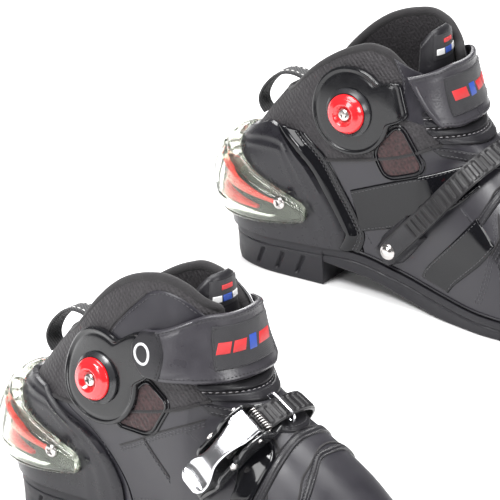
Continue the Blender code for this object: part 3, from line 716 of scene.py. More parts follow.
front_l = np.linspace(hi[-1] - 3, max(lo[-1] + 4, 150), 16)
edge_m = surf(np.full(16, edge + 0.004), front_m, -3.3)
edge_l = surf(np.full(16, -edge - 0.004), front_l, -3.3)
path = np.concatenate([edge_m, path, edge_l])
nn = np.concatenate([normal(np.full(16, edge), front_m), nn, normal(np.full(16, -edge), front_l)])
both = even(np.concatenate([path, nn], axis=1), count=330)
path = both[:, :3]
for _ in range(6):
    path[1:-1] = (path[:-2] + path[1:-1] * 2 + path[2:]) / 4
verts, faces = tube_mesh(path, both[:, 3:], 3.4, 14, 1.0, False, 4)
piece("rim_binding", verts, faces, "binding", padded=True)

# tongue: puffy, with a generic label
cols = np.linspace(-0.235, 0.235, 61)
top = 202 - 10 * (np.abs(cols) / 0.235) ** 3
v = np.linspace(0, 1, 60)
z = 114 + (top - 114)[None] * v[:, None]
a = np.broadcast_to(cols[None], z.shape)
soft = np.clip(1 - (np.abs(a) / 0.235) ** 4, 0, 1) * np.clip((1 - v[:, None]) * 12, 0, 1)
roll = np.sqrt(np.clip(1 - (1 - np.clip((1 - v[:, None]) * (top - 114)[None] / 4.0, 0, 1)) ** 2, 0, 1))
mid = -COLLAR_WALL - 5.0
slab("tongue_pad", surf(a, z, mid + 3.0 * roll + 0.6 * soft), surf(a, z, mid - 3.0 * roll), "leather",
     replaces=("tongue",), padded=True)

# ---------------------------------------------------------------- heel counter, guard and red blades
def counter_grid(cs, vs, d, lo_shift=0.0):
    rows = []
    cols_a, cols_z = [], []
    for c in cs:
        side = 1 if c >= 0 else -1
        ea = np.array([float(a_of(smoothed(zz, COUNTER_EDGE[side]), zz)) for zz in ZG[::2]])
        fn = lambda zz: side * (1 - abs(c) ** 1.3 * (1 - np.interp(zz, ZG[::2], ea)))
        zb = column_heights(SOLE_TOP, fn, np.array([28.0]), SOLE_GAP)[0]
        zt = 93 + COUNTER_RISE[side] * step(abs(c), 0.05, 0.9)
        zc = zb + (zt - zb) * np.asarray(vs)
        cols_a.append(fn(zc))
        cols_z.append(zc)
    return np.array(cols_a).T, np.array(cols_z).T


cs = np.linspace(1, -1, 121)
vs = np.linspace(0, 1, 56)
a, z = counter_grid(cs, vs, 1.8)
gap_u = (1 - np.abs(cs))[None] * 105
gap_v = (1 - vs)[:, None] * 70
near = np.minimum(np.broadcast_to(gap_u, z.shape), np.broadcast_to(gap_v, z.shape))
h = np.sqrt(np.clip(1 - (1 - np.clip(near / 2.2, 0, 1)) ** 2, 0, 1))
ridge = 0.8 * np.exp(-(((near - 7.5) / 1.4) ** 2)) + 0.55 * np.exp(-(((near - 13) / 1.2) ** 2))
slab("counter_cup", surf(a, z, 2.0 + 2.3 * h + ridge * (near > 2)), surf(a, z, 0.4), "counter", replaces=("heel_counter",))


def guard_at(k):
    return 89 - 28 * k**1.15, 37 + 9 * k**2.5, 4.5 + 5 * (1 - k) ** 1.7


def guard_point(c, share, out):
    along = np.abs(c) ** 1.8
    side = np.where(np.asarray(c) >= 0, 1.0, -1.0)
    high, low, _ = guard_at(along**0.8)
    mid, reach = (low + high) / 2, (high - low) / 2
    z = low + 2 * reach * share
    nose = 60 - 4.5 * ((z - mid) / reach) ** 2 * along**4
    back = np.interp(z, ZG, BZ)
    x = back + (nose - back) * along
    return surf(side * a_of(x, z), z, 5.0 + out)


cs = np.linspace(1, -1, 161)
profile = [(0, 0.0, 0), (0.10, 0.0, 0), (0.19, 0.3, 0), (0.25, 1.0, 0), (0.47, 1.0, 0), (0.70, 1.0, 0), (0.77, 0.3, 0),
           (0.84, 0.0, 0), (1.0, 0.0, 0)]
outer_s = [1.0, 1.0, 0.985, 0.95, 0.90, 0.86, 0.845, 0.83, 0.80, 0.76, 0.72, 0.66, 0.60, 0.54, 0.48, 0.42, 0.36, 0.31, 0.29,
           0.27, 0.23, 0.18, 0.13, 0.09, 0.075, 0.06, 0.03, 0.01, 0.0]
along = np.abs(cs) ** 1.8
_, _, proud = guard_at(along**0.8)
pocket = 4.6 * (1 - smooth01(np.abs(cs), 0.76, 0.84))
rings = []
for s, p, _ in profile:
    rings.append(guard_point(cs, s, pocket * p))
for i, s in enumerate(outer_s):
    crown = math.sin(math.pi * min(1, max(0, 0.06 + 0.88 * s))) ** 0.55
    rolled = math.sqrt(max(0.0, 1 - (1 - min(1.0, min(s, 1 - s) / 0.05)) ** 2))
    h = 1.0 + (1.5 + 0.85 * proud) * crown * (0.35 + 0.65 * rolled)
    if i == 0:
        h = np.full(len(cs), 0.9)
    groove = 0.9 * (math.exp(-(((s - 0.845) / 0.012) ** 2)) + math.exp(-(((s - 0.29) / 0.012) ** 2))
                    + math.exp(-(((s - 0.075) / 0.012) ** 2)))
    wave = 0.55 * np.cos(cs * 46) * (1 - smooth01(np.abs(cs), 0.28, 0.42)) * (0.3 < s < 0.84)
    rings.append(guard_point(cs, s, np.maximum(0.6, h - groove + wave)))
rings = np.array(rings)
faces = []
nr, nc = rings.shape[:2]
for i in range(nr):
    k = (i + 1) % nr
    for j in range(nc - 1):
        faces.append((i * nc + j, i * nc + j + 1, k * nc + j + 1, k * nc + j))
faces.append(tuple(i * nc for i in range(nr)))
faces.append(tuple(i * nc + nc - 1 for i in range(nr))[::-1])
piece("clear_guard", rings, faces, "clear", replaces=("heel_slider",))


def blade(name, s0, s1, reach, body_replaces=()):
    t = np.linspace(1, -1, 121)
    along = reach * np.abs(t) ** 1.8
    side = np.where(t >= 0, 1.0, -1.0)
    high, low, _ = guard_at(along**0.8)
    out, inn = [], []
    for v in (0, 0.06, 0.2, 0.5, 0.8, 0.94, 1):
        taper = 1 - 0.72 * np.abs(t) ** 2.5
        mid = (s0 + s1) / 2
        share = mid + (v - 0.5) * (s1 - s0) * taper
        z = low + (high - low) * share
        back = np.interp(z, ZG, BZ)
        x = back + (60 - back) * along
        a = side * a_of(x, z)
        bulge = 2.8 * math.sqrt(max(0.0, 1 - (2 * v - 1) ** 2)) ** 0.5
        out.append(surf(a, z, 6.2 + bulge))
        inn.append(surf(a, z, 5.5))
    slab(name, out, inn, "red_glow", replaces=body_replaces)


blade("red_blade_upper", 0.50, 0.72, 0.70, ("heel_reflector",))
blade("red_blade_lower", 0.235, 0.445, 0.5)

# ---------------------------------------------------------------- outsole
xs = np.concatenate([np.linspace(-13.5, -1, 22), np.linspace(0, 71, 96), np.linspace(71.7, 290, 260),
                     np.linspace(290.6, 300.5, 20)])
inner_x = -11.0 + (xs + 13.5) * (297.6 + 11.0) / (300.5 + 13.5)
rows = []
for x, ix in zip(xs, inner_x):
    medial, lateral = [half_width(ix, 20, s) + 2.5 for s in (1, -1)]
    top = smoothed(x, SOLE_TOP)
    bottom = smoothed(x, HEEL_UNDERCUT) if x < -1 else 0.0 if x <= 71 else smoothed(x, SOLE_BOTTOM)
    c = centre(ix)
    tuck = 2.5 if x > 71 else 4.0
    ring = []
    heel = x <= 71.3
    for side, half in ((1, medial), (-1, lateral)):
        pts = []
        for t in np.concatenate([np.linspace(0, 1, 28)]):
            zz = bottom + (top - bottom) * t
            w = half - tuck * (1 - smooth01(t, 0, 0.95)) - 0.8 * (1 - smooth01(t, 0, 0.06))
            groove = 0.0
            line = top - 6.3
            groove += 1.1 * math.exp(-(((zz - line) / 0.75) ** 2)) * smooth01(half, 3, 12)
            if heel:
                for g in (16.0, 32.0, 48.0):
                    gx = x - g - (zz - bottom) * 0.42
                    gate = smooth01(zz, bottom + 3.5, bottom + 5.0) * (1 - smooth01(zz, line - 4.2, line - 2.6))
                    groove += 2.1 * math.exp(-((gx / 1.35) ** 4)) * gate
                groove += 0.5 * smooth01(line - zz, 1.0, 2.0) * 1.0
            w = max(0.15, w - groove)
            pts.append((x, c + side * w, zz))
        ring.append(pts if side > 0 else pts[::-1])
    up = ring[0]
    down = ring[1]
    yb0, yb1 = down[-1][1], up[0][1]
    base = []
    for k in range(1, 16):
        y = yb0 + (yb1 - yb0) * k / 16
        tread = 0.0
        if not heel and 95 < x < 285 and 1 < k < 15:
            tread = 1.6 * (((x + abs(y - c) * 0.6) % 14) < 3.2)
        if heel and 6 < x < 66 and 1 < k < 15:
            tread = 1.5 * ((x % 13) < 3.0)
        base.append((x, y, bottom + tread))
    top_in = [(x, up[-1][1] * (1 - k / 6) + down[0][1] * k / 6, top) for k in range(1, 6)]
    rows.append(up + top_in + down + base)
rows = np.array(rows)
n = rows.shape[1]
faces = grid_faces(len(rows), n, True)
faces.append(tuple(range(n))[::-1])
faces.append(tuple((len(rows) - 1) * n + j for j in range(n)))
piece("outsole_unit", rows, faces, "rubber", replaces=("outsole",), sharp=32)

# ---------------------------------------------------------------- ankle joints
RD = math.radians
for side, label in ((-1, "lateral"), (1, "medial")):
    reach, half, angle = PLATE_TAIL[side]
    rim = PLATE_RADIUS[side]
    X0, Z0 = DISC[side]
    phis = np.linspace(0, 2 * math.pi, 180, endpoint=False)
    d = np.abs((np.degrees(phis) - angle + 180) % 360 - 180)
    limit = math.degrees(math.asin(half / rim))
    dr = np.radians(d)
    rad = np.where(d >= limit, rim, np.minimum(half / np.maximum(1e-6, np.sin(dr)), reach / np.maximum(0.2, np.cos(dr))))
    for _ in range(5):
        rad = (np.roll(rad, 1) + rad * 2 + np.roll(rad, -1)) / 4
    ax = np.array([math.cos(p) for p in phis])
    az = np.array([math.sin(p) for p in phis])
    out, inn = [], []
    for gap in list(np.array([0, 0.15, 0.5, 1.1, 1.8, 2.6, 3.2, 3.9, 4.6, 5.6, 7.0, 9.0])) + [None] * 8:
        if gap is None:
            k = len(out) - 12
            r = 2.6 + (rad - 9.0 - 2.6) * (1 - (k + 1) / 8)
            hh = 3.0
        else:
            r = rad - gap
            roll = math.sqrt(max(0.0, 1 - (1 - min(1, gap / 1.6)) ** 2))
            hh = 0.5 + 3.0 * roll - 0.9 * smooth01(gap, 2.6, 3.8) + 0.35 * smooth01(gap, 4.6, 6)
        pts = np.stack([X0 + ax * r, Z0 + az * r], axis=1)
        aa = side * a_of(pts[:, 0], pts[:, 1])
        out.append(surf(aa, pts[:, 1], 0.9 + hh))
        inn.append(surf(aa, pts[:, 1], 0.3))
    slab("plate_" + label, out, inn, "plate", wrap=True, replaces=("ankle_plate_" + label,))
    seat, nrm = on_side(X0, Z0, side, 4.3)
    R = RING_RADIUS
    turned("ring_" + label, [(3.2, 3.2), (R - 3.1, 3.2), (R - 2.6, 3.9)] + arc(R - 2.6, 3.9, R, 0.9, 0.12)
           + [(R + 0.1, -0.8), (3.2, -0.8)], tuple(seat), tuple(nrm), "ring", 96, replaces=("ankle_ring_" + label,))
    C = CAP_RADIUS
    turned("cap_" + label, [(3.2, 2.6), (4.9, 2.6), (5.4, 2.9), (7.0, 5.3), (7.5, 5.75), (8.1, 5.85)]
           + arc(8.1, 5.85, 11.9, 4.5, 0.03, 4) + [(12.4, 4.1), (C - 0.3, 2.0), (C, 1.4), (C, 0), (3.2, 0)],
           tuple(seat + nrm * 3.6), tuple(nrm), "red", 96, replaces=("ankle_cap_" + label,))
    screw_head("screw_" + label, tuple(seat + nrm * 6.4), tuple(nrm), 4.7, 2.4, "steel", turn=0.5 if side < 0 else 0.2,
               replaces=("ankle_screw_" + label,))
    seat, nrm = on_side(*HEEL_SCREW, side, 4.8)
    screw_head("guard_screw_" + label, tuple(seat + nrm * 7.2), tuple(nrm), 4.6, 2.6, "steel", turn=0.9,
               replaces=("heel_screw_" + label,))

# ---------------------------------------------------------------- pull loop
path = np.array([(4.9, 108), (1.2, 112.5), (0.2, 118), (2.6, 125), (7.2, 131.5), (13.0, 136.8), (19.5, 139.8),
            (27.5, 139.8), (33.0, 137.0), (34.4, 128)], float)
fine = even(flow(path, 10), step_mm=0.8)
tan = np.gradient(fine, axis=0)
tan /= np.linalg.norm(tan, axis=1, keepdims=True)
outn = np.stack([-tan[:, 1], tan[:, 0]], axis=1)
ys = np.array([-7.6, -7.45, -7.0, -6.0, -4, -2, 0, 2, 4, 6.0, 7.0, 7.45, 7.6])
h = np.array([0.0, 0.5, 0.85, 1.0, 1, 1, 1, 1, 1, 1.0, 0.85, 0.5, 0.0])
outer = np.array([[(p[0] + q[0] * 1.15 * k, y, p[1] + q[1] * 1.15 * k) for p, q in zip(fine + outn * 1.0, outn)]
                  for y, k in zip(ys, h)])
inner = np.array([[(p[0] - q[0] * 1.15 * k, y, p[1] - q[1] * 1.15 * k) for p, q in zip(fine + outn * 1.0, outn)]
                  for y, k in zip(ys, h)])
slab("webbing_loop", outer, inner, "webbing", replaces=("pull_loop",))
for y in (-4.6, 4.6):
    p = np.array([(q[0], y, q[1]) for q in fine + outn * 2.15])
    nv = np.array([(q[0], 0, q[1]) for q in outn])
    stitches(p[3:-10], nv[3:-10], "white_thread", length=2.6, pitch=4.0, radius=0.38, group="loop")

# ---------------------------------------------------------------- the strap across the throat
ENDS = (-a_at(STRAP_ENDS_X[0], STRAP_HEIGHT), a_at(STRAP_ENDS_X[1], STRAP_HEIGHT))


def strap_half(a):
    tip = 0.30 * smooth01(a, ENDS[0], ENDS[0] + 0.05) + 0.33 * smooth01(a, ENDS[0] + 0.05, -0.12)
    root = -0.16 * smooth01(a, 0.08, ENDS[1])
    # the tab's end is rounded
    end = np.clip((np.asarray(a) - ENDS[0]) / 0.055, 0, 1)
    return STRAP_WIDTH / 2 * (0.40 + tip + root) * np.sqrt(np.clip(1 - (1 - end) ** 2.6, 0.02, 1))


def strap_xyz(a, share, d, q=None):
    a = np.asarray(a, float)
    place = a + 0.055 * np.asarray(share) * smooth01(a, 0.1, ENDS[1])
    q = np.asarray(share) * strap_half(a) if q is None else q
    z = STRAP_HEIGHT - np.where(place < 0, 9 * smooth01(-place, 0.15, 0.42), 6 * smooth01(place, 0.05, 0.35)) + q
    return surf(place, z, d)


aa = np.concatenate([ENDS[0] + 0.06 * np.linspace(0, 1, 26) ** 1.7, np.linspace(ENDS[0] + 0.06, ENDS[1], 130)[1:]])
sh = np.array([-1, -0.985, -0.95, -0.9] + list(np.linspace(-0.84, 0.84, 23)) + [0.9, 0.95, 0.985, 1])
A, S = np.meshgrid(aa, sh)
gap = np.minimum((1 - np.abs(S)) * strap_half(A), np.minimum((A - ENDS[0]) * 210, (ENDS[1] - A) * 210))
roll = np.sqrt(np.clip(1 - (1 - np.clip(gap / 1.8, 0, 1)) ** 2, 0, 1))
welt = -0.5 * np.exp(-(((gap - 4.2) / 0.8) ** 2))
slab("strap_leather", strap_xyz(A, S, 4.6 + 2.7 * roll + welt), strap_xyz(A, S, 4.3 + 0 * roll), "grey_leather",
     body="closure_strap", replaces=("closure_strap",))


def strap_run(points, d, closed=False):
    """A path over the strap from (a, q) points."""
    p = np.array(points, float)
    a, q = p[:, 0], p[:, 1]
    xyz = strap_xyz(a, q / np.maximum(1e-6, strap_half(a)), d)
    nv = strap_xyz(a, q / np.maximum(1e-6, strap_half(a)), d + 1) - xyz
    return xyz, nv / np.linalg.norm(nv, axis=1, keepdims=True)


for inset_by, thread in ((2.6, "thread_dark"),):
    run = np.linspace(ENDS[0] + 0.016, ENDS[1] - 0.012, 300)
    for sgn in (1, -1):
        q = sgn * np.maximum(0.5, strap_half(run) - inset_by)
        p, nv = strap_run(np.stack([run, q], axis=1), 7.15)
        stitches(p, nv, thread, body="closure_strap", length=2.0, pitch=2.9, radius=0.28, group="strap")

# a stitched patch with generic bars, on the strap's front
PATCH = (-0.155, 0.135)
pa = np.linspace(PATCH[0], PATCH[1], 90)
ps = np.array([-1, -0.97, -0.9, -0.75, -0.4, 0, 0.4, 0.75, 0.9, 0.97, 1])
A, S = np.meshgrid(pa, ps)
gap = np.minimum((1 - np.abs(S)) * 14.5, np.minimum(A - PATCH[0], PATCH[1] - A) * 210)
roll = np.sqrt(np.clip(1 - (1 - np.clip(gap / 1.0, 0, 1)) ** 2, 0, 1))
slab("strap_patch", strap_xyz(A, S, 7.3 + 1.1 * roll, q=S * 14.5), strap_xyz(A, S, 6.6, q=S * 14.5), "patch",
     body="closure_strap")
border = np.array([(PATCH[0] + 0.007, -13), (PATCH[1] - 0.007, -13), (PATCH[1] - 0.007, 13), (PATCH[0] + 0.007, 13)])
border = even(border, count=400, closed=True)
p, nv = strap_run(np.vstack([border, border[:1]]), 8.35)
stitches(p, nv, "thread_dark", body="closure_strap", length=1.8, pitch=2.6, radius=0.25, group="strap")


def strap_bar(name, a0, a1, q0, q1, mat, slant=0.0, d=8.3, h=0.5):
    pa = np.linspace(0, 1, 30)
    pq = np.array([0, 0.06, 0.5, 0.94, 1])
    U, V = np.meshgrid(pa, pq)
    A = a0 + (a1 - a0) * U + slant * (V - 0.5)
    Q = q0 + (q1 - q0) * V
    lift = h * np.where((V > 0.01) & (V < 0.99) & (U > 0.01) & (U < 0.99), 1.0, 0.4)
    slab(name, strap_xyz(A, 0 * A, d + lift, q=Q), strap_xyz(A, 0 * A, d - 0.4, q=Q), mat, body="closure_strap")


strap_bar("patch_bar_1", -0.138, -0.086, -4.0, 3.6, "label_red", 0.012)
strap_bar("patch_bar_2", -0.076, -0.024, -4.0, 3.6, "label_red", 0.012)
strap_bar("patch_bar_3", 0.034, 0.108, -4.0, 3.6, "label_red", 0.012)
strap_bar("patch_mark", -0.010, 0.020, -5.0, 4.6, "label_blue", 0.006)

# the tab has a facing of darker leather with a rounded edge
ta = np.concatenate([ENDS[0] + 0.006 + 0.05 * np.linspace(0, 1, 20) ** 1.6, np.linspace(ENDS[0] + 0.056, ENDS[0] + 0.135, 40)[1:]])
tv = np.array([-1, -0.985, -0.95, -0.88] + list(np.linspace(-0.8, 0.8, 15)) + [0.88, 0.95, 0.985, 1])
A, S = np.meshgrid(ta, tv)
A = A - smooth01(A, ENDS[0] + 0.05, ENDS[0] + 0.135) * 0.034 * S**2
Q = S * (strap_half(A) - 0.8)
gap = np.minimum((1 - np.abs(S)) * strap_half(A), np.minimum(np.abs(A - A[:, :1]), np.abs(A[:, -1:] - A)) * 210)
roll = np.sqrt(np.clip(1 - (1 - np.clip(gap / 1.4, 0, 1)) ** 2, 0, 1))
slab("tab_facing", strap_xyz(A, 0 * A, 7.1 + 1.0 * roll, q=Q), strap_xyz(A, 0 * A, 6.4, q=Q), "leather", body="closure_strap")
p, nv = strap_run(np.stack([A[:, -1] - 0.010, Q[:, 0] * 0 + Q[:, -1] * 0.93], axis=1), 8.15)
stitches(p, nv, "thread_dark", body="closure_strap", length=1.9, pitch=2.7, radius=0.26, group="strap")

# a plain ring as the tab's emblem
ring_c = (ENDS[0] + 0.052, 0.0)
ang = np.linspace(0, 2 * math.pi, 60, endpoint=False)
p, nv = strap_run(np.stack([ring_c[0] + np.cos(ang) * 6.0 / 210, np.sin(ang) * 6.0], axis=1), 8.25)
verts, faces = tube_mesh(p, nv, 0.95, 8, 0.7, True)
piece("tab_ring", verts, faces, "emblem", body="closure_strap")

# ================================================================ ladder, buckle, lever and bail
BS = np.arange(-128.0, 92.0, 1.0)
BF = [band_frame(float(s)) for s in BS]
BP = [np.array([tuple(f[k]) for f in BF]) for k in range(4)]


def band_vec(s, k):
    s = np.asarray(s, float)
    v = np.stack([np.interp(s.ravel(), BS, BP[k][:, m]) for m in range(3)], axis=1)
    if k:
        v /= np.linalg.norm(v, axis=1, keepdims=True)
    return v.reshape(*s.shape, 3)


def band_xyz(s, w, h):
    s, w, h = np.broadcast_arrays(np.asarray(s, float), w, h)
    return band_vec(s, 0) + band_vec(s, 2) * w[..., None] + band_vec(s, 3) * h[..., None]


rivet_s = -60.0
while band_at(rivet_s, 0).z > RIVET_HEIGHT:
    rivet_s -= 0.5
end_s = rivet_s - 7
s = np.arange(end_s, 30.01, 0.5)
w = np.array([-1, -0.97, -0.9, -0.8, -0.66, -0.62, -0.3, 0, 0.3, 0.62, 0.66, 0.8, 0.9, 0.97, 1])
S, W = np.meshgrid(s, w)
half = LADDER_WIDTH / 2 * (0.45 + 0.55 * np.sqrt(np.clip(1 - (1 - np.clip((s - end_s) / 8, 0, 1)) ** 2, 0, 1)))
tooth = (S - 30) % 5.2
ribs = np.where((np.abs(W) < 0.67) & (S > rivet_s + 8), 1.0 * smooth01(tooth, 0.3, 1.3) * (1 - smooth01(tooth, 3.0, 3.9)), 0.55)
top = 2.2 + ribs - 0.9 * (np.abs(W) > 0.96)
slab("ladder", band_xyz(S, W * half[None], 3.2 + LIFT + top), band_xyz(S, W * half[None] * 0.97, 3.2 + LIFT + 0 * top),
     "ladder", replaces=("ladder_strap",), sharp=30)
# the leather tab that the rivet and the ladder's root are sewn to
st = np.concatenate([rivet_s - 10 + 14 * np.linspace(0, 1, 24) ** 1.6, np.linspace(rivet_s + 4, rivet_s + 29, 30)[1:]])
tabw = 12.0 * np.sqrt(np.clip(1 - (1 - np.clip((st - rivet_s + 10.2) / 12, 0, 1)) ** 2, 0.01, 1)) * (1 - 0.1 * smooth01(st, rivet_s + 5, rivet_s + 29))
wt = np.array([-1, -0.985, -0.95, -0.9, -0.8, -0.5, 0, 0.5, 0.8, 0.9, 0.95, 0.985, 1])
S, W = np.meshgrid(st, wt)
gap = np.minimum((1 - np.abs(W)) * tabw[None], np.minimum(S - st[0], st[-1] - S))
roll = np.sqrt(np.clip(1 - (1 - np.clip(gap / 1.4, 0, 1)) ** 2, 0, 1))
over_l = 1 - smooth01(np.abs(W) * tabw[None], 7.6, 10.5)
slab("rivet_tab", band_xyz(S, W * tabw[None], 1.0 + 1.2 * roll + (5.4 + LIFT - 1.0) * over_l * roll),
     band_xyz(S, W * tabw[None], 0 * S - 0.4), "leather", sharp=50)
for sgn in (-1, 1):
    pth = band_xyz(st[6:-1], sgn * (tabw[6:-1] - 1.5), np.full(len(st) - 7, 2.35))
    stitches(pth, band_vec(st[6:-1], 3), "thread", length=1.7, pitch=2.5, radius=0.24, group="tab")
seat, along_v, across_v, nrm = band_frame(rivet_s)
turned("rivet", [(0, -4.0), (4.4, -4.0), (5.9, -0.6)] + [(5.9, 0.2), (5.3, 0.9), (4.4, 1.1), (4.0, 1.3), (3.4, 1.9), (2.4, 2.35), (1.2, 2.6), (0, 2.65)], tuple(seat + nrm * (6.6 + LIFT)),
       tuple(nrm), "steel", 64, replaces=("ladder_rivet",))

# the buckle's black frame
axle_s, axle_h = 28.0, 13.0 + LIFT
HB = BUCKLE_WIDTH / 2
ss = np.arange(11.5, 84.6, 0.75)
width = HB * (0.82 + 0.18 * smooth01(ss, 12, 20)) * (1 - 0.35 * smooth01(ss, 64, 84))
endcap = np.sqrt(np.clip(1 - (1 - np.clip(np.minimum(ss - 11.2, 84.9 - ss) / 2.6, 0, 1)) ** 2, 0.05, 1))
rise = 3.0 + 12.5 * smooth01(ss, 17, 25) * (1 - smooth01(ss, 31, 42)) + 7.5 * smooth01(ss, 31, 40) * (1 - smooth01(ss, 55, 68)) \
    + 1.5 * smooth01(ss, 55, 62) * (1 - smooth01(ss, 70, 82))
ears = smooth01(ss, 17, 25) * (1 - smooth01(ss, 31, 42))
rows = []
for i, s0 in enumerate(ss):
    wd, r, e = width[i], rise[i] * (0.35 + 0.65 * endcap[i]), endcap[i]
    wd = wd * (0.82 + 0.18 * e)
    wall = 2.6
    fl = min(2.4, r - 0.5)
    right_side = [(wd - 0.5, 0.9), (wd, 1.4), (wd + 0.25 * ears[i], r * 0.5), (wd, r - 0.9), (wd - 0.3, r - 0.25), (wd - 0.9, r),
                  (wd - wall + 0.7, r), (wd - wall + 0.15, r - 0.3), (wd - wall, r - 0.9), (wd - wall - 0.05, (r + fl) / 2),
                  (wd - wall - 0.2, fl + 0.25), (wd - wall - 0.8, fl)]
    full = right_side + [(0.0, fl)] + [(-p, q) for p, q in right_side[::-1]] + [(0.0, 0.9)]
    rows.append([tuple(band_xyz(np.array(s0), p, q + LIFT)) for p, q in full])
rows = np.array(rows)
n = rows.shape[1]
faces = grid_faces(len(rows), n, True)
faces.append(tuple(range(n))[::-1])
faces.append(tuple((len(rows) - 1) * n + j for j in range(n)))
piece("buckle_frame", rows, faces, "buckle", replaces=("buckle_base",), sharp=40)

AX, AE1, AE2, AN = [np.array(tuple(v)) for v in band_frame(axle_s)]
AXLE = AX + AN * axle_h


def lever_xyz(s, w, h):
    """A point of the lever: h is the height off the band's middle line; near the axle the axle's own plane is used."""
    s, w, h = np.broadcast_arrays(np.asarray(s, float), w, h)
    far = band_xyz(s, w, h)
    near = AX + AE1 * (s - axle_s)[..., None] + AE2 * w[..., None] + AN * h[..., None]
    m = smooth01(s, 31, 41)[..., None]
    return near * (1 - m) + far * m


outline = [(23.4, 9.8), (25, 10.2), (28, 10.4), (31, 10.3), (34, 9.9), (37, 8.4), (41, 7.0), (46, 6.2), (50, 6.0), (54, 6.5),
           (58, 8.2), (62, 10.0), (66, 10.9), (70, 10.7), (73.5, 8.8), (75.8, 5.6)]
s = np.concatenate([np.linspace(23.4, 33, 26), np.linspace(33.5, 75.8, 86)])
wl = np.array([smoothed(float(v), outline) for v in s])
over = np.sqrt(np.clip(4.6**2 - np.clip(np.abs(s - axle_s), 0, 4.58) ** 2, 0.04, None))
plate_top = 12.4 + LIFT + 3.0 + 0.9 * smooth01(s, 64, 76)
plate_low = 12.4 + LIFT + 0.9 * smooth01(s, 64, 76)
lip = 1.3 * np.exp(-(((s - 71.5) / 1.5) ** 2)) - 0.9 * np.exp(-(((s - 63.5) / 5.0) ** 2))
top = plate_top + (axle_h + 4.4 - plate_top) * smooth01(s, 23.4, 24.4) * (1 - smooth01(s, 33.6, 35.4))
low = np.where(s < 30, axle_h - over, plate_low * smooth01(s, 29, 31) + (axle_h - over) * (1 - smooth01(s, 29, 31)))
low = np.minimum(low, top - 0.6)
wn = np.array([-1, -0.995, -0.97, -0.92, -0.84, -0.7, -0.45, -0.2, 0, 0.2, 0.45, 0.7, 0.84, 0.92, 0.97, 0.995, 1])
S, W = np.meshgrid(s, wn)
crown = np.sqrt(np.clip(1 - (1 - np.clip((1 - np.abs(W)) * wl[None] / 1.3, 0, 1)) ** 2, 0, 1))
end_roll = np.sqrt(np.clip(1 - (1 - np.clip((75.9 - S) / 1.5, 0, 1)) ** 2, 0.02, 1))
mid = (top + low)[None] / 2
hi_ = mid + (top[None] + lip[None] * (1 - W**4) - mid) * (0.25 + 0.75 * crown * end_roll)
lo_ = mid - (mid - low[None]) * (0.25 + 0.75 * crown * end_roll)
slab("lever_plate", lever_xyz(S, W * wl[None], hi_), lever_xyz(S, W * wl[None], lo_), "polished", body="buckle_lever",
     replaces=("buckle_lever",), sharp=35)

# side pin head, spring and the bail
turned("pin_head", [(0, -1.2), (3.3, -1.2), (3.4, 0.4)] + arc(3.4, 0.4, 0, 2.0, 0.16, 9),
       tuple(band_xyz(np.array(47.0), -HB * 0.98, 7.6 + LIFT)), tuple(-band_vec(np.array(47.0), 2)), "steel", 48)
turned("pin_head_front", [(0, -1.2), (3.3, -1.2), (3.4, 0.4)] + arc(3.4, 0.4, 0, 2.0, 0.16, 9),
       tuple(band_xyz(np.array(47.0), HB * 0.98, 7.6 + LIFT)), tuple(band_vec(np.array(47.0), 2)), "steel", 48)
t = np.linspace(0, 1, 150)
coil_w = -9.0 + 18.0 * t
coil = band_xyz(np.full(150, 20.5), coil_w, 7.2 + LIFT + 0 * t) + band_vec(np.full(150, 20.5), 1) * (1.9 * np.cos(t * 2 * math.pi * 9))[:, None] \
    + band_vec(np.full(150, 20.5), 3) * (1.9 * np.sin(t * 2 * math.pi * 9))[:, None]
verts, faces = tube_mesh(coil, band_vec(np.full(150, 20.5), 2), 0.5, 7)
piece("buckle_spring", verts, faces, "steel")

p0, al0, ac0, n0 = [np.array(tuple(v)) for v in band_frame(6.0)]
foot = p0 + n0 * (3.4 + LIFT)
bend = rounded(np.array([(-11.6, -1.0), (-11.6, 3.6), (-9.4, 5.6), (0, 5.6), (9.4, 5.6), (11.6, 3.6), (11.6, -1.0)]), 0)
fine = even(flow(bend, 10), step_mm=0.6)
wire = foot + ac0 * fine[:, :1] + n0 * fine[:, 1:]
verts, faces = tube_mesh(wire, np.broadcast_to(al0, wire.shape), 0.95, 10)
piece("bail_wire", verts, faces, "polished", body="wire_bail", replaces=("wire_bail",))
for sgn, lab in ((-1, "rear"), (1, "front")):
    turned("bail_ball_" + lab, arc(0, -1.7, 0, 1.7, -0.5, 13), tuple(foot + ac0 * 11.6 * sgn + n0 * -0.6), tuple(ac0),
           "polished", 24, body="wire_bail")

# ================================================================ sewn panels
def sewn_patch(name, side, outline, mat, base=0.0, lift=1.1, roll=1.2, pipe=None, rows=(1.6,), thread="thread", times=2, **kw):
    edge = rounded(outline, times)
    blob(name, side, edge, mat, base=base, lift=lift, roll=roll, **kw)
    for off in rows:
        sew(side, even(inset(edge, off), count=260, closed=True), base + lift + 0.05, closed=True, smooth=False,
            thread=thread, length=1.5, pitch=2.2, radius=0.22)
    if pipe:
        piping(name + "_piping", side, even(inset(edge, -0.5), count=200, closed=True), pipe, base + 0.6, 1.0,
               0.9, True, False)
        piping(name + "_cord", side, even(inset(edge, -2.9), count=200, closed=True), pipe, base + 0.3, 0.75, 0.9,
               True, False)


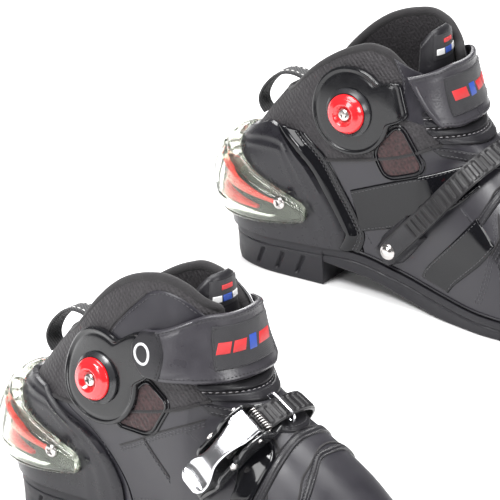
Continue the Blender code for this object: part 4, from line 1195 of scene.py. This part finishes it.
# lateral
sewn_patch("side_mesh_lateral", -1, [(88.8, 92.6), (100, 111), (111.9, 130.2), (121, 124), (130.6, 117.7), (124.7, 106.8),
                                     (118, 93.5), (101.5, 93.1)], "mesh_red", lift=0.7, pipe="patent", rows=(),
           times=2)
ribbon("buckle_side_panel", -1, [(200, 72.5), (206, 87), (206, 101), (190, 112)], [(185, 68), (187, 82), (183, 95), (174.5, 104)],
       "patent", lift=1.3, roll=1.8)
blob("collar_front_lateral", -1, rounded([(76, 139), (79, 153), (90, 169), (104, 187), (117, 191), (130, 188.5), (141, 181),
                                          (148.5, 174), (149.5, 160), (148, 145), (142, 138), (110, 136)], 2),
     "satin", lift=1.0, roll=1.4, count=160)
sew(-1, [(106, 185), (118, 188.6), (129.5, 186), (139.5, 179.5)], 1.05)
sew(-1, [(78.2, 143), (81.4, 153.5), (92.2, 168.5), (105.6, 182.6)], 1.15, thread="thread")
piping("collar_seam_lateral", -1, [(75.4, 139), (77.9, 153.6), (89, 169.6), (103, 185)], "binding", 0.5, 0.9)
for k, pts in enumerate(([(90, 76), (104, 84), (125, 97), (142, 106), (156, 113)], [(110.6, 88.7), (120, 79), (133.7, 66.8)])):
    piping(f"vamp_seam_lateral_{k}", -1, pts, "binding", 0.1, 0.7)
    sew(-1, [(x + 0.4, z - 2.2) for x, z in pts], 0.1)
    sew(-1, [(x + 0.8, z - 4.0) for x, z in pts], 0.1)
piping("instep_channel_lateral", -1, [(184, 117.5), (193, 111), (203, 103.5), (206.5, 97), (204, 84), (200, 70), (193, 54)], "patent", 0.9, 1.7)
piping("instep_channel_edge", -1, [(190, 116), (198, 110.5), (207.5, 103), (210.5, 96), (208, 83), (204, 69), (197, 53)], "binding", 0.3, 0.8)
for side in (-1,):
    piping("waist_seam_lateral", side, [(100, 36), (118, 41), (140, 47), (165, 50), (190, 48)], "binding", 0.1, 0.7)
    sew(side, [(100, 38.4), (118, 43.4), (140, 49.4), (165, 52.4), (188, 50.6)], 0.05)
    sew(side, [(100, 40.6), (118, 45.6), (140, 51.6), (165, 54.6), (187, 53)], 0.05)
# medial
ribbon("front_patent_medial", 1, [(99.3, 47.3), (127.5, 57.5), (155.6, 71), (176, 86), (190, 101)],
       [(91.5, 78.6), (131.5, 96.2), (158.9, 106.5), (172, 112), (183, 117)], "patent", lift=1.2, roll=1.8, cols=90, rows=30)
sew(1, [(99.5, 49.5), (127.5, 59.8), (155, 73.2), (175, 87.6), (188.5, 101.5)], 1.25)
sew(1, [(92.5, 76.6), (131.5, 94), (158.5, 104.2), (172, 109.6), (182.5, 114.4)], 1.25)
ribbon("lower_patent_medial", 1, [(176, 22.5), (182.4, 31), (201.8, 51), (212, 66)], [(152, 27), (156.5, 36.6), (177.9, 62.4), (193, 82)],
       "patent", lift=1.2, roll=1.8, cols=70, rows=24)
sew(1, [(177, 25.5), (181, 32.2), (199.8, 52.2), (209.6, 66)], 1.25)
sew(1, [(154.8, 28), (158.6, 36), (179.8, 61), (193.8, 79)], 1.25)
ribbon("heel_patent_medial", 1, [(85.9, 33), (90.4, 44), (87.3, 49.8), (75.3, 70.6), (59.8, 94.6), (33, 113)],
       [(100, 30), (103.5, 44), (99, 55.5), (87, 77.5), (72.5, 100.5), (54, 114)],
       "patent", lift=1.3, roll=1.8, cols=120, rows=26,
       extra=lambda p, v: 4.6 * (1 - smooth01(v, 0.25, 0.7)))
sew(1, [(95, 33), (98.8, 44.4), (94.8, 54), (82.4, 75.6), (67.6, 99), (47, 113.6)], 2.0)
sew(1, [(97.6, 33), (101.2, 44.4), (97, 55), (84.8, 76.6), (70, 100), (50.5, 113.8)], 1.5)
sewn_patch("side_mesh_medial", 1, [(111.8, 114.5), (119.5, 126), (129.2, 137.1), (139, 122), (149, 106.9), (136, 101.5),
                                   (122, 96.3), (116, 105)], "mesh_red", lift=0.7, pipe="patent", rows=(), times=2)
ribbon("collar_front_medial", 1, [(124, 143), (127, 155), (126, 168), (118, 182)], [(146, 139), (152, 152), (153, 160), (150, 169)],
       "satin", lift=1.0, roll=1.4, cols=60, rows=20)
sew(1, [(126, 144), (129, 155), (128, 168), (120.4, 181)], 1.15)
# over the instep: channels, strips and pleats; points here are (slice position, height)
def over_ridge(lat, med, top=None):
    """A line of (slice position, height) points from lateral (x, z) points over the ridge to medial ones."""
    ridge = [(0.0, top_height(top) - 0.15)] if top else []
    pts = [(-float(a_of(x, z)), z) for x, z in lat] + ridge + [(float(a_of(x, z)), z) for x, z in med[::-1]]
    return pts


strip_low = over_ridge([(231.5, 80), (231, 89), (224, 97.8)], [(214, 74), (217, 86), (220, 97.5)])
strip_high = over_ridge([(206, 80), (207.5, 91), (208.5, 103.5)], [(200, 70), (204, 86), (207, 104)])
for k, (lat, med, top) in enumerate((
        ([(232, 58), (232.5, 70), (231.5, 82.4), (228, 94)], [(209, 60), (214, 74), (219, 88), (221, 99)], 222),
        ([(196, 52), (201, 66), (205, 80), (207, 93), (207.5, 104)], [(193, 80), (199, 93), (203.5, 104)], 206.5))):
    line = over_ridge(lat, med, top)
    piping(f"ridge_seam_{k}", 0, line, "binding", 0.15, 0.75)
    for off in (2.0, 3.8):
        sew(0, [(aa_, zz_ - off * 0.8) for aa_, zz_ in line], 0.08)
for k, zc in enumerate((127.5, 133.5, 139.5, 145.0)):
    aw = np.array([-0.24, -0.12, 0, 0.12, 0.24])
    lo_line = [(q, zc - 2.4 + 3 * abs(q)) for q in aw]
    hi_line = [(q, zc + 2.4 + 3 * abs(q)) for q in aw]
    ribbon(f"throat_pleat_{k}", 0, lo_line, hi_line, "leather", base=0.2, lift=2.0, roll=2.2, cols=60, rows=12)
    if k < 3:
        sew(0, [(q, zc + 3.0 + 3 * abs(q)) for q in aw], 0.9, length=2.4, pitch=4.2, thread="thread_light")
ribbon("instep_strip", 0, [(-0.30, 117), (-0.15, 112.5), (0, 111), (0.15, 112.5), (0.30, 117)],
       [(-0.29, 124.5), (-0.15, 120.5), (0, 119.5), (0.15, 120.5), (0.29, 124.5)], "leather", lift=1.4, roll=1.4, cols=90, rows=12)
sew(0, [(-0.29, 118.6), (-0.15, 114.2), (0, 112.8), (0.15, 114.2), (0.29, 118.6)], 1.45)
sew(0, [(-0.28, 122.8), (-0.15, 118.9), (0, 117.9), (0.15, 118.9), (0.28, 122.8)], 1.45)
def crossing(lat, med, top):
    """An (x, z) line on each side that meets on the ridge, as one run of surface points and normals."""
    out = []
    for side, pts in ((-1, lat), (1, med[::-1])):
        run = even(flow(list(pts) + [(top, top_height(top) - 0.4)] if side < 0 else [(top, top_height(top) - 0.4)] + list(pts)), count=70)
        a_ = side * a_of(run[:, 0], run[:, 1])
        out.append(np.stack([a_, run[:, 1]], axis=1))
    both_ = np.concatenate([out[0], out[1][1:]])
    p3 = surf(both_[:, 0], both_[:, 1], 0.0)
    nv = normal(both_[:, 0], both_[:, 1])
    six = even(np.concatenate([p3, nv * 12], axis=1), count=150)
    for _ in range(14):
        six[1:-1] = (six[:-2] + six[1:-1] * 2 + six[2:]) / 4
    nv = six[:, 3:] / np.linalg.norm(six[:, 3:], axis=1, keepdims=True)
    return six[:, :3], nv


for k, (lat, med, top, w) in enumerate((
        ([(199.5, 56), (204.5, 68), (208.5, 81), (210.5, 94), (211, 103)], [(196.5, 80), (202.5, 93), (207, 103)], 210.5, 6.4),
        ([(236, 60), (236.5, 71), (235.5, 83), (232, 93.5)], [(212, 58), (217.5, 73), (222.5, 87), (225, 98)], 226.5, 5.0))):
    p3, nv = crossing(lat, med, top)
    tn = np.gradient(p3, axis=0)
    tn /= np.linalg.norm(tn, axis=1, keepdims=True)
    sd = np.cross(tn, nv)
    sd /= np.linalg.norm(sd, axis=1, keepdims=True)
    ws = np.array([-1, -0.97, -0.9, -0.78, -0.6, -0.52, -0.3, 0, 0.3, 0.52, 0.6, 0.78, 0.9, 0.97, 1]) * w / 2
    hs = np.array([0, 0.55, 0.95, 1.15, 1.0, 0.95, 1.2, 1.25, 1.2, 0.95, 1.0, 1.15, 0.95, 0.55, 0]) * 1.15
    outer = np.array([p3 + sd * q_ + nv * (0.15 + h_) for q_, h_ in zip(ws, hs)])
    inner = np.array([p3 + sd * q_ - nv * 1.0 for q_ in ws])
    slab(f"ridge_strip_{k}", outer, inner, "leather")
    for q_ in (-0.56, 0.56):
        stitches(p3 + sd * q_ * w / 2 + nv * 1.25, nv, "thread", length=1.7, pitch=2.5, radius=0.24)
# a heavier collar line where the shaft meets the lower
path_a = np.concatenate([np.linspace(0.24, 1, 60), np.linspace(-1, -0.24, 60)[1:]])
path_z = meet(ANKLE_SEAM, path_a, 105)
p = np.array(surf(path_a, path_z, 0.2))
verts, faces = tube_mesh(p, normal(path_a, path_z), 1.3, 8, 0.9)
piece("ankle_seam_cord", verts, faces, "binding")
# the edge where the upper meets the sole
cc = np.linspace(-1, 1, 400, endpoint=False)
zc = meet(SOLE_TOP, cc, 22, SOLE_GAP + 0.9)
p = surf(cc, zc, 0.4)
verts, faces = tube_mesh(p, normal(cc, zc), 0.9, 7, 1.0, True)
piece("welt_cord", verts, faces, "rubber")
# toe panel: rows of stitching over the toe and its sheen panel
arc_pts = [(199.7, 22), (204.7, 37), (208, 60)]
for off in (0, 2.2, 4.4):
    sew(1, [(x + off, z) for x, z in arc_pts], 0.05)
seam_line = [(TOE_SEAM_X - 0.35 * (z - 20), z) for z in (20, 35, 50, 65, 80, 88)]
for side in (1, -1):
    piping(f"toe_seam_{'medial' if side > 0 else 'lateral'}", side, seam_line, "binding", 0.1, 0.7)
    sew(side, [(x - 2.4, z) for x, z in seam_line], 0.05)
    sew(side, [(x - 4.4, z) for x, z in seam_line], 0.05)
# label on the tongue
def tongue_bar(name, a0, a1, z0, z1, mat, d):
    U, V = np.meshgrid(np.linspace(0, 1, 20), np.array([0, 0.08, 0.5, 0.92, 1]))
    A, Z = a0 + (a1 - a0) * U, z0 + (z1 - z0) * V
    e = np.where((V > 0.01) & (V < 0.99) & (U > 0.01) & (U < 0.99), 1.0, 0.3)
    slab(name, surf(A, Z, mid_t + d + 0.5 * e), surf(A, Z, mid_t + d - 0.5), mat)


mid_t = -COLLAR_WALL - 5.0 + 3.4
tongue_bar("tongue_label", -0.14, 0.14, 180.5, 197.5, "patch", 0.2)
tongue_bar("tongue_label_red", -0.045, 0.045, 191.3, 194.3, "label_red", 0.7)
tongue_bar("tongue_label_white", -0.115, -0.045, 183.6, 187.8, "label_white", 0.7)
tongue_bar("tongue_label_blue", -0.035, 0.030, 183.6, 187.8, "label_blue", 0.7)
tongue_bar("tongue_label_white_2", 0.040, 0.115, 183.6, 187.8, "label_white", 0.7)
# heel counter stitching is moulded; the quarter gets two rows in front of it
for side in (1, -1):
    line = [(smoothed(z, [(q, x) for x, q in sorted(COUNTER_EDGE[side], key=lambda t: t[1])]) + 3.2, z)
            for z in (40, 52, 64, 76, 86)]
    sew(side, line, 0.05)
for (thread, body, group), (vv, ff) in THREADS.items():
    piece(f"{thread}_{group}_{body}" if body != "boot" else f"{thread}_{group}", np.concatenate(vv), ff, thread, body=body, sharp=70)


# ================================================================ materials
def shader_of(name):
    mat = bpy.data.materials.new(name)
    mat.use_nodes = True
    return mat, mat.node_tree.nodes, mat.node_tree.links, mat.node_tree.nodes["Principled BSDF"]


def finish_of(name, colour, rough, metal=0.0, coat=0.0, coat_rough=0.03, sheen=0.0, transmission=0.0, ior=1.5,
              grain=(), bump=0.0, tint=None, tint_scale=120.0, rough_var=0.08, spec=None):
    """A Principled finish with colour, roughness and relief that vary over the surface. grain is a list of
    (kind, scale, weight)."""
    mat, nodes, links, sh = shader_of(name)
    sh.inputs["Base Color"].default_value = (*colour, 1)
    sh.inputs["Roughness"].default_value = rough
    sh.inputs["Metallic"].default_value = metal
    sh.inputs["Coat Weight"].default_value = coat
    sh.inputs["Coat Roughness"].default_value = coat_rough
    sh.inputs["Sheen Weight"].default_value = sheen
    sh.inputs["Transmission Weight"].default_value = transmission
    sh.inputs["IOR"].default_value = ior
    if spec is not None:
        sh.inputs["Specular IOR Level"].default_value = spec
    co = nodes.new("ShaderNodeTexCoord")
    big = nodes.new("ShaderNodeTexNoise")
    big.inputs["Scale"].default_value = tint_scale
    big.inputs["Detail"].default_value = 4
    links.new(co.outputs["Object"], big.inputs["Vector"])
    ramp = nodes.new("ShaderNodeMapRange")
    ramp.inputs["From Min"].default_value = 0.3
    ramp.inputs["From Max"].default_value = 0.7
    ramp.inputs["To Min"].default_value = max(0.02, rough - rough_var)
    ramp.inputs["To Max"].default_value = min(1.0, rough + rough_var)
    links.new(big.outputs["Fac"], ramp.inputs["Value"])
    links.new(ramp.outputs["Result"], sh.inputs["Roughness"])
    mix = nodes.new("ShaderNodeMix")
    mix.data_type = "RGBA"
    mix.inputs["A"].default_value = (*colour, 1)
    mix.inputs["B"].default_value = (*(tint or tuple(min(1, c * 1.5 + 0.002) for c in colour)), 1)
    links.new(mix.outputs["Result"], sh.inputs["Base Color"])
    total = None
    for kind, scale, weight in grain:
        if kind == "noise":
            tex = nodes.new("ShaderNodeTexNoise")
            tex.inputs["Detail"].default_value = 5
            out = tex.outputs["Fac"]
        elif kind in ("cells", "pores"):
            tex = nodes.new("ShaderNodeTexVoronoi")
            tex.feature = "F1" if kind == "pores" else "SMOOTH_F1"
            out = tex.outputs["Distance"]
        else:
            tex = nodes.new("ShaderNodeTexWave")
            tex.bands_direction = {"ribs_x": "X", "ribs_y": "Y", "ribs_z": "Z"}.get(kind, "DIAGONAL")
            tex.inputs["Distortion"].default_value = 0.4
            out = tex.outputs["Fac"]
        tex.inputs["Scale"].default_value = scale
        links.new(co.outputs["Object"], tex.inputs["Vector"])
        mul = nodes.new("ShaderNodeMath")
        mul.operation = "MULTIPLY"
        mul.inputs[1].default_value = weight
        links.new(out, mul.inputs[0])
        if total is None:
            total = mul.outputs[0]
        else:
            add = nodes.new("ShaderNodeMath")
            links.new(total, add.inputs[0])
            links.new(mul.outputs[0], add.inputs[1])
            total = add.outputs[0]
    if total is not None:
        if bump:
            node = nodes.new("ShaderNodeBump")
            node.inputs["Strength"].default_value = min(1.0, bump)
            node.inputs["Distance"].default_value = 0.0006
            links.new(total, node.inputs["Height"])
            links.new(node.outputs["Normal"], sh.inputs["Normal"])
        links.new(total if tint else big.outputs["Fac"], mix.inputs["Factor"])
    else:
        links.new(big.outputs["Fac"], mix.inputs["Factor"])
    mat.diffuse_color = (*colour, 1)
    return mat


MATERIALS = {
    "satin": finish_of("satin", (0.0125, 0.0115, 0.0155), 0.36, sheen=0.05, grain=[("noise", 1500, 0.8), ("pores", 1100, 0.3)],
                       bump=0.10, tint_scale=60, spec=0.45),
    "leather": finish_of("leather", (0.0095, 0.009, 0.011), 0.36, sheen=0.03, grain=[("cells", 900, 0.9), ("noise", 1600, 0.4)],
                         bump=0.18, tint_scale=80, spec=0.32),
    "patent": finish_of("patent", (0.003, 0.003, 0.004), 0.08, coat=0.35, coat_rough=0.02, grain=[("noise", 110, 0.5)],
                        bump=0.10, rough_var=0.03, spec=0.16),
    "mesh": finish_of("mesh", (0.004, 0.003, 0.004), 0.7, sheen=0.06, tint=(0.024, 0.021, 0.024),
                      grain=[("pores", 520, 0.85), ("ribs", 150, 0.35)], bump=0.9),
    "mesh_red": finish_of("mesh_red", (0.004, 0.002, 0.002), 0.7, sheen=0.05, tint=(0.042, 0.016, 0.017),
                          grain=[("pores", 430, 0.95), ("ribs", 130, 0.25)], bump=0.9),
    "binding": finish_of("binding", (0.009, 0.008, 0.009), 0.85, sheen=0.12, grain=[("noise", 900, 1.0)], bump=0.7),
    "counter": finish_of("counter", (0.009, 0.0085, 0.011), 0.30, grain=[("noise", 1300, 0.6)], bump=0.12, spec=0.35),
    "rubber": finish_of("rubber", (0.009, 0.0085, 0.011), 0.48, grain=[("noise", 900, 0.6)], bump=0.18, spec=0.3),
    "plate": finish_of("plate", (0.005, 0.005, 0.006), 0.22, coat=0.35, coat_rough=0.10, grain=[("noise", 1800, 0.5)], bump=0.06, spec=0.25),
    "ring": finish_of("ring", (0.014, 0.014, 0.016), 0.3, coat=0.2, grain=[("noise", 1500, 0.5)], bump=0.06),
    "red": finish_of("red", (0.55, 0.010, 0.014), 0.2, coat=0.8, coat_rough=0.05, grain=[("noise", 400, 0.4)], bump=0.03,
                     rough_var=0.04),
    "red_glow": finish_of("red_glow", (0.80, 0.015, 0.015), 0.3, coat=0.5, grain=[("noise", 500, 0.4)], bump=0.05),
    "steel": finish_of("steel", (0.42, 0.40, 0.39), 0.26, metal=1.0, grain=[("noise", 700, 0.5)], bump=0.04),
    "polished": finish_of("polished", (0.56, 0.56, 0.585), 0.16, metal=1.0, grain=[("noise", 90, 0.5)], bump=0.02, rough_var=0.03),
    "webbing": finish_of("webbing", (0.006, 0.006, 0.007), 0.8, sheen=0.2, grain=[("ribs", 260, 0.8), ("noise", 1600, 0.4)],
                         bump=0.8, tint=(0.03, 0.03, 0.032)),
    "thread": finish_of("thread", (0.030, 0.029, 0.033), 0.6, sheen=0.2, grain=[("ribs", 900, 0.5)], bump=0.3),
    "thread_dark": finish_of("thread_dark", (0.006, 0.006, 0.007), 0.6, grain=[("ribs", 900, 0.5)], bump=0.3),
    "grey_leather": finish_of("grey_leather", (0.027, 0.0255, 0.030), 0.34, grain=[("cells", 620, 0.9), ("noise", 1300, 0.4)],
                              bump=0.14, tint_scale=70, spec=0.42),
    "thread_light": finish_of("thread_light", (0.22, 0.21, 0.22), 0.6, sheen=0.2, grain=[("ribs", 900, 0.5)], bump=0.3),
    "white_thread": finish_of("white_thread", (0.62, 0.61, 0.60), 0.6, sheen=0.2, grain=[("ribs", 900, 0.5)], bump=0.3),
    "ladder": finish_of("ladder", (0.008, 0.0075, 0.0085), 0.38, grain=[("noise", 1200, 0.5)], bump=0.08, spec=0.35),
    "buckle": finish_of("buckle", (0.010, 0.010, 0.011), 0.22, coat=0.4, coat_rough=0.1, grain=[("noise", 1300, 0.5)], bump=0.06),
    "patch": finish_of("patch", (0.011, 0.0105, 0.013), 0.5, sheen=0.1, grain=[("ribs", 500, 0.6), ("noise", 1500, 0.4)], bump=0.4),
    "emblem": finish_of("emblem", (0.42, 0.42, 0.43), 0.4, grain=[("noise", 900, 0.5)], bump=0.1),
    "label_white": finish_of("label_white", (0.66, 0.66, 0.66), 0.5, grain=[("ribs", 700, 0.5)], bump=0.2, tint=(0.78, 0.78, 0.78)),
    "label_blue": finish_of("label_blue", (0.02, 0.06, 0.34), 0.5, grain=[("ribs", 700, 0.5)], bump=0.2, tint=(0.03, 0.09, 0.42)),
    "label_red": finish_of("label_red", (0.50, 0.02, 0.025), 0.5, grain=[("ribs", 700, 0.5)], bump=0.2, tint=(0.62, 0.03, 0.03)),
    "lining": finish_of("lining", (0.018, 0.017, 0.018), 0.9, sheen=0.2, grain=[("noise", 900, 0.8)], bump=0.5),
    "foam": finish_of("foam", (0.03, 0.03, 0.032), 0.92, sheen=0.1, grain=[("noise", 700, 0.8)], bump=0.6),
}
clear, nodes, links, sh = shader_of("clear")
sh.inputs["Base Color"].default_value = (0.80, 0.85, 0.74, 1)
sh.inputs["Roughness"].default_value = 0.06
sh.inputs["Transmission Weight"].default_value = 0.97
sh.inputs["IOR"].default_value = 1.22
sh.inputs["Coat Weight"].default_value = 0.4
co = nodes.new("ShaderNodeTexCoord")
tex = nodes.new("ShaderNodeTexNoise")
tex.inputs["Scale"].default_value = 160
links.new(co.outputs["Object"], tex.inputs["Vector"])
ramp = nodes.new("ShaderNodeMapRange")
ramp.inputs["To Min"].default_value = 0.05
ramp.inputs["To Max"].default_value = 0.16
links.new(tex.outputs["Fac"], ramp.inputs["Value"])
links.new(ramp.outputs["Result"], sh.inputs["Roughness"])
node = nodes.new("ShaderNodeBump")
node.inputs["Strength"].default_value = 0.08
node.inputs["Distance"].default_value = 0.0006
links.new(tex.outputs["Fac"], node.inputs["Height"])
links.new(node.outputs["Normal"], sh.inputs["Normal"])
MATERIALS["clear"] = clear

# ================================================================ placing every piece on both boots
replaced = set()
for prefix, side, place in (("r_", 1, (0.0, 0.0)), ("l_", -1, LEFT_BOOT_FROM_RIGHT)):
    yaw = math.radians(-BOOT_YAW_DEG * side)
    cy, sy = math.cos(yaw), math.sin(yaw)
    for item in PIECES:
        v = item["verts"] * np.array([1.0, side, 1.0])
        xyz = np.stack([v[:, 0] * cy - v[:, 1] * sy + place[0] - BOX_CENTRE[0],
                        v[:, 0] * sy + v[:, 1] * cy + place[1] - BOX_CENTRE[1], v[:, 2]], axis=1) * MM
        faces = item["faces"]
        # signed volume says which way the faces look
        mid = xyz.mean(axis=0)
        vol = 0.0
        q = xyz - mid
        tri = np.array([(f[0], f[k], f[k + 1]) for f in faces for k in range(1, len(f) - 1)])
        vol = np.einsum("ij,ij->i", q[tri[:, 0]], np.cross(q[tri[:, 1]], q[tri[:, 2]])).sum()
        if vol < 0:
            faces = [f[::-1] for f in faces]
        mesh = bpy.data.meshes.new(prefix + item["name"])
        mesh.from_pydata([tuple(p) for p in xyz], [], faces)
        mesh.update()
        mesh.shade_smooth()
        mesh.set_sharp_from_angle(angle=math.radians(item["sharp"]))
        obj = bpy.data.objects.new(prefix + item["name"], mesh)
        bpy.context.scene.collection.objects.link(obj)
        mesh.materials.append(MATERIALS[item["mat"]])
        bpy.context.view_layer.update()
        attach(obj, prefix + item["body"])
        nodes_replaced = [prefix + n for n in item["replaces"]]
        if nodes_replaced:
            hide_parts(*nodes_replaced)
            replaced.update(nodes_replaced)

CAD_FINISH = {"insole_board": "lining", "footbed": "foam", "lever_axle": "steel", "buckle_pawl": "steel"}
for name, obj in KIT_NODES.items():
    if name in replaced:
        continue
    finish = MATERIALS[CAD_FINISH.get(name[2:], "rubber")]
    obj.data.materials.clear()
    obj.data.materials.append(finish)

# ================================================================ floor, light and camera
floor_mesh = bpy.data.meshes.new("floor")
bm = bmesh.new()
bmesh.ops.create_grid(bm, x_segments=2, y_segments=2, size=14)
bm.to_mesh(floor_mesh)
bm.free()
floor = bpy.data.objects.new("floor", floor_mesh)
floor.location.z = -0.0006
bpy.context.scene.collection.objects.link(floor)
fmat, nodes, links, sh = shader_of("floor_paint")
sh.inputs["Base Color"].default_value = (0.93, 0.93, 0.93, 1)
sh.inputs["Roughness"].default_value = 0.9
floor_mesh.materials.append(fmat)

world = bpy.data.worlds.new("studio")
bpy.context.scene.world = world
world.use_nodes = True
world.node_tree.nodes["Background"].inputs["Color"].default_value = (1, 1, 1, 1)
world.node_tree.nodes["Background"].inputs["Strength"].default_value = 0.16


def softbox(name, at, look, size, power):
    light = bpy.data.lights.new(name, "AREA")
    light.shape = "RECTANGLE"
    light.size, light.size_y = size
    light.energy = power
    obj = bpy.data.objects.new(name, light)
    bpy.context.scene.collection.objects.link(obj)
    obj.location = at
    obj.visible_camera = False
    obj.rotation_euler = (Vector(look) - Vector(at)).to_track_quat("-Z", "Y").to_euler()
    return obj


softbox("top", (0.1, 0.2, 2.4), (0, 0, 0.0), (1.7, 1.5), 70)
softbox("front", (-0.35, -1.45, 1.85), (0, 0, 0.1), (0.95, 0.6), 60)
softbox("low", (-0.27, -1.40, 0.66), (0.0, 0.2, 0.1), (0.34, 0.42), 5)
softbox("side", (2.3, -0.4, 1.3), (0, 0, 0.1), (0.9, 1.1), 34)
softbox("back", (-1.3, 1.9, 1.6), (0, 0, 0.1), (1.4, 0.8), 44)

A_, E_, ROLL_, SPAN_ = 33.0, 22.0, 3.0, 1.55
cam = bpy.data.cameras.new("camera")
cam_obj = bpy.data.objects.new("camera", cam)
bpy.context.scene.collection.objects.link(cam_obj)
ra, re, rr_ = map(math.radians, (A_, E_, ROLL_))
right = Vector((math.cos(ra), math.sin(ra), 0))
back = Vector((math.sin(ra) * math.cos(re), -math.cos(ra) * math.cos(re), math.sin(re)))
up = back.cross(right)
r2 = right * math.cos(rr_) + up * math.sin(rr_)
u2 = -right * math.sin(rr_) + up * math.cos(rr_)
seat, _n = on_side(75, 121, -1, 9)
yaw = math.radians(-BOOT_YAW_DEG)
anchor = Vector((seat.x * math.cos(yaw) - seat.y * math.sin(yaw) - BOX_CENTRE[0],
                 seat.x * math.sin(yaw) + seat.y * math.cos(yaw) - BOX_CENTRE[1], seat.z)) * MM
ox, oy = (92 - 250) / (SPAN_ * 1000), -(379 - 250) / (SPAN_ * 1000)
centre_pt = anchor - r2 * ox - u2 * oy
m = Matrix((r2, u2, back)).transposed().to_4x4()
m.translation = centre_pt + back * 5.0
cam_obj.matrix_world = m
cam.sensor_width = 36
cam.lens = 36 * 5.0 / (500 / (SPAN_ * 1000))
cam.clip_end = 100
bpy.context.scene.camera = cam_obj
bpy.context.scene.view_settings.view_transform = "Standard"
bpy.context.view_layer.update()
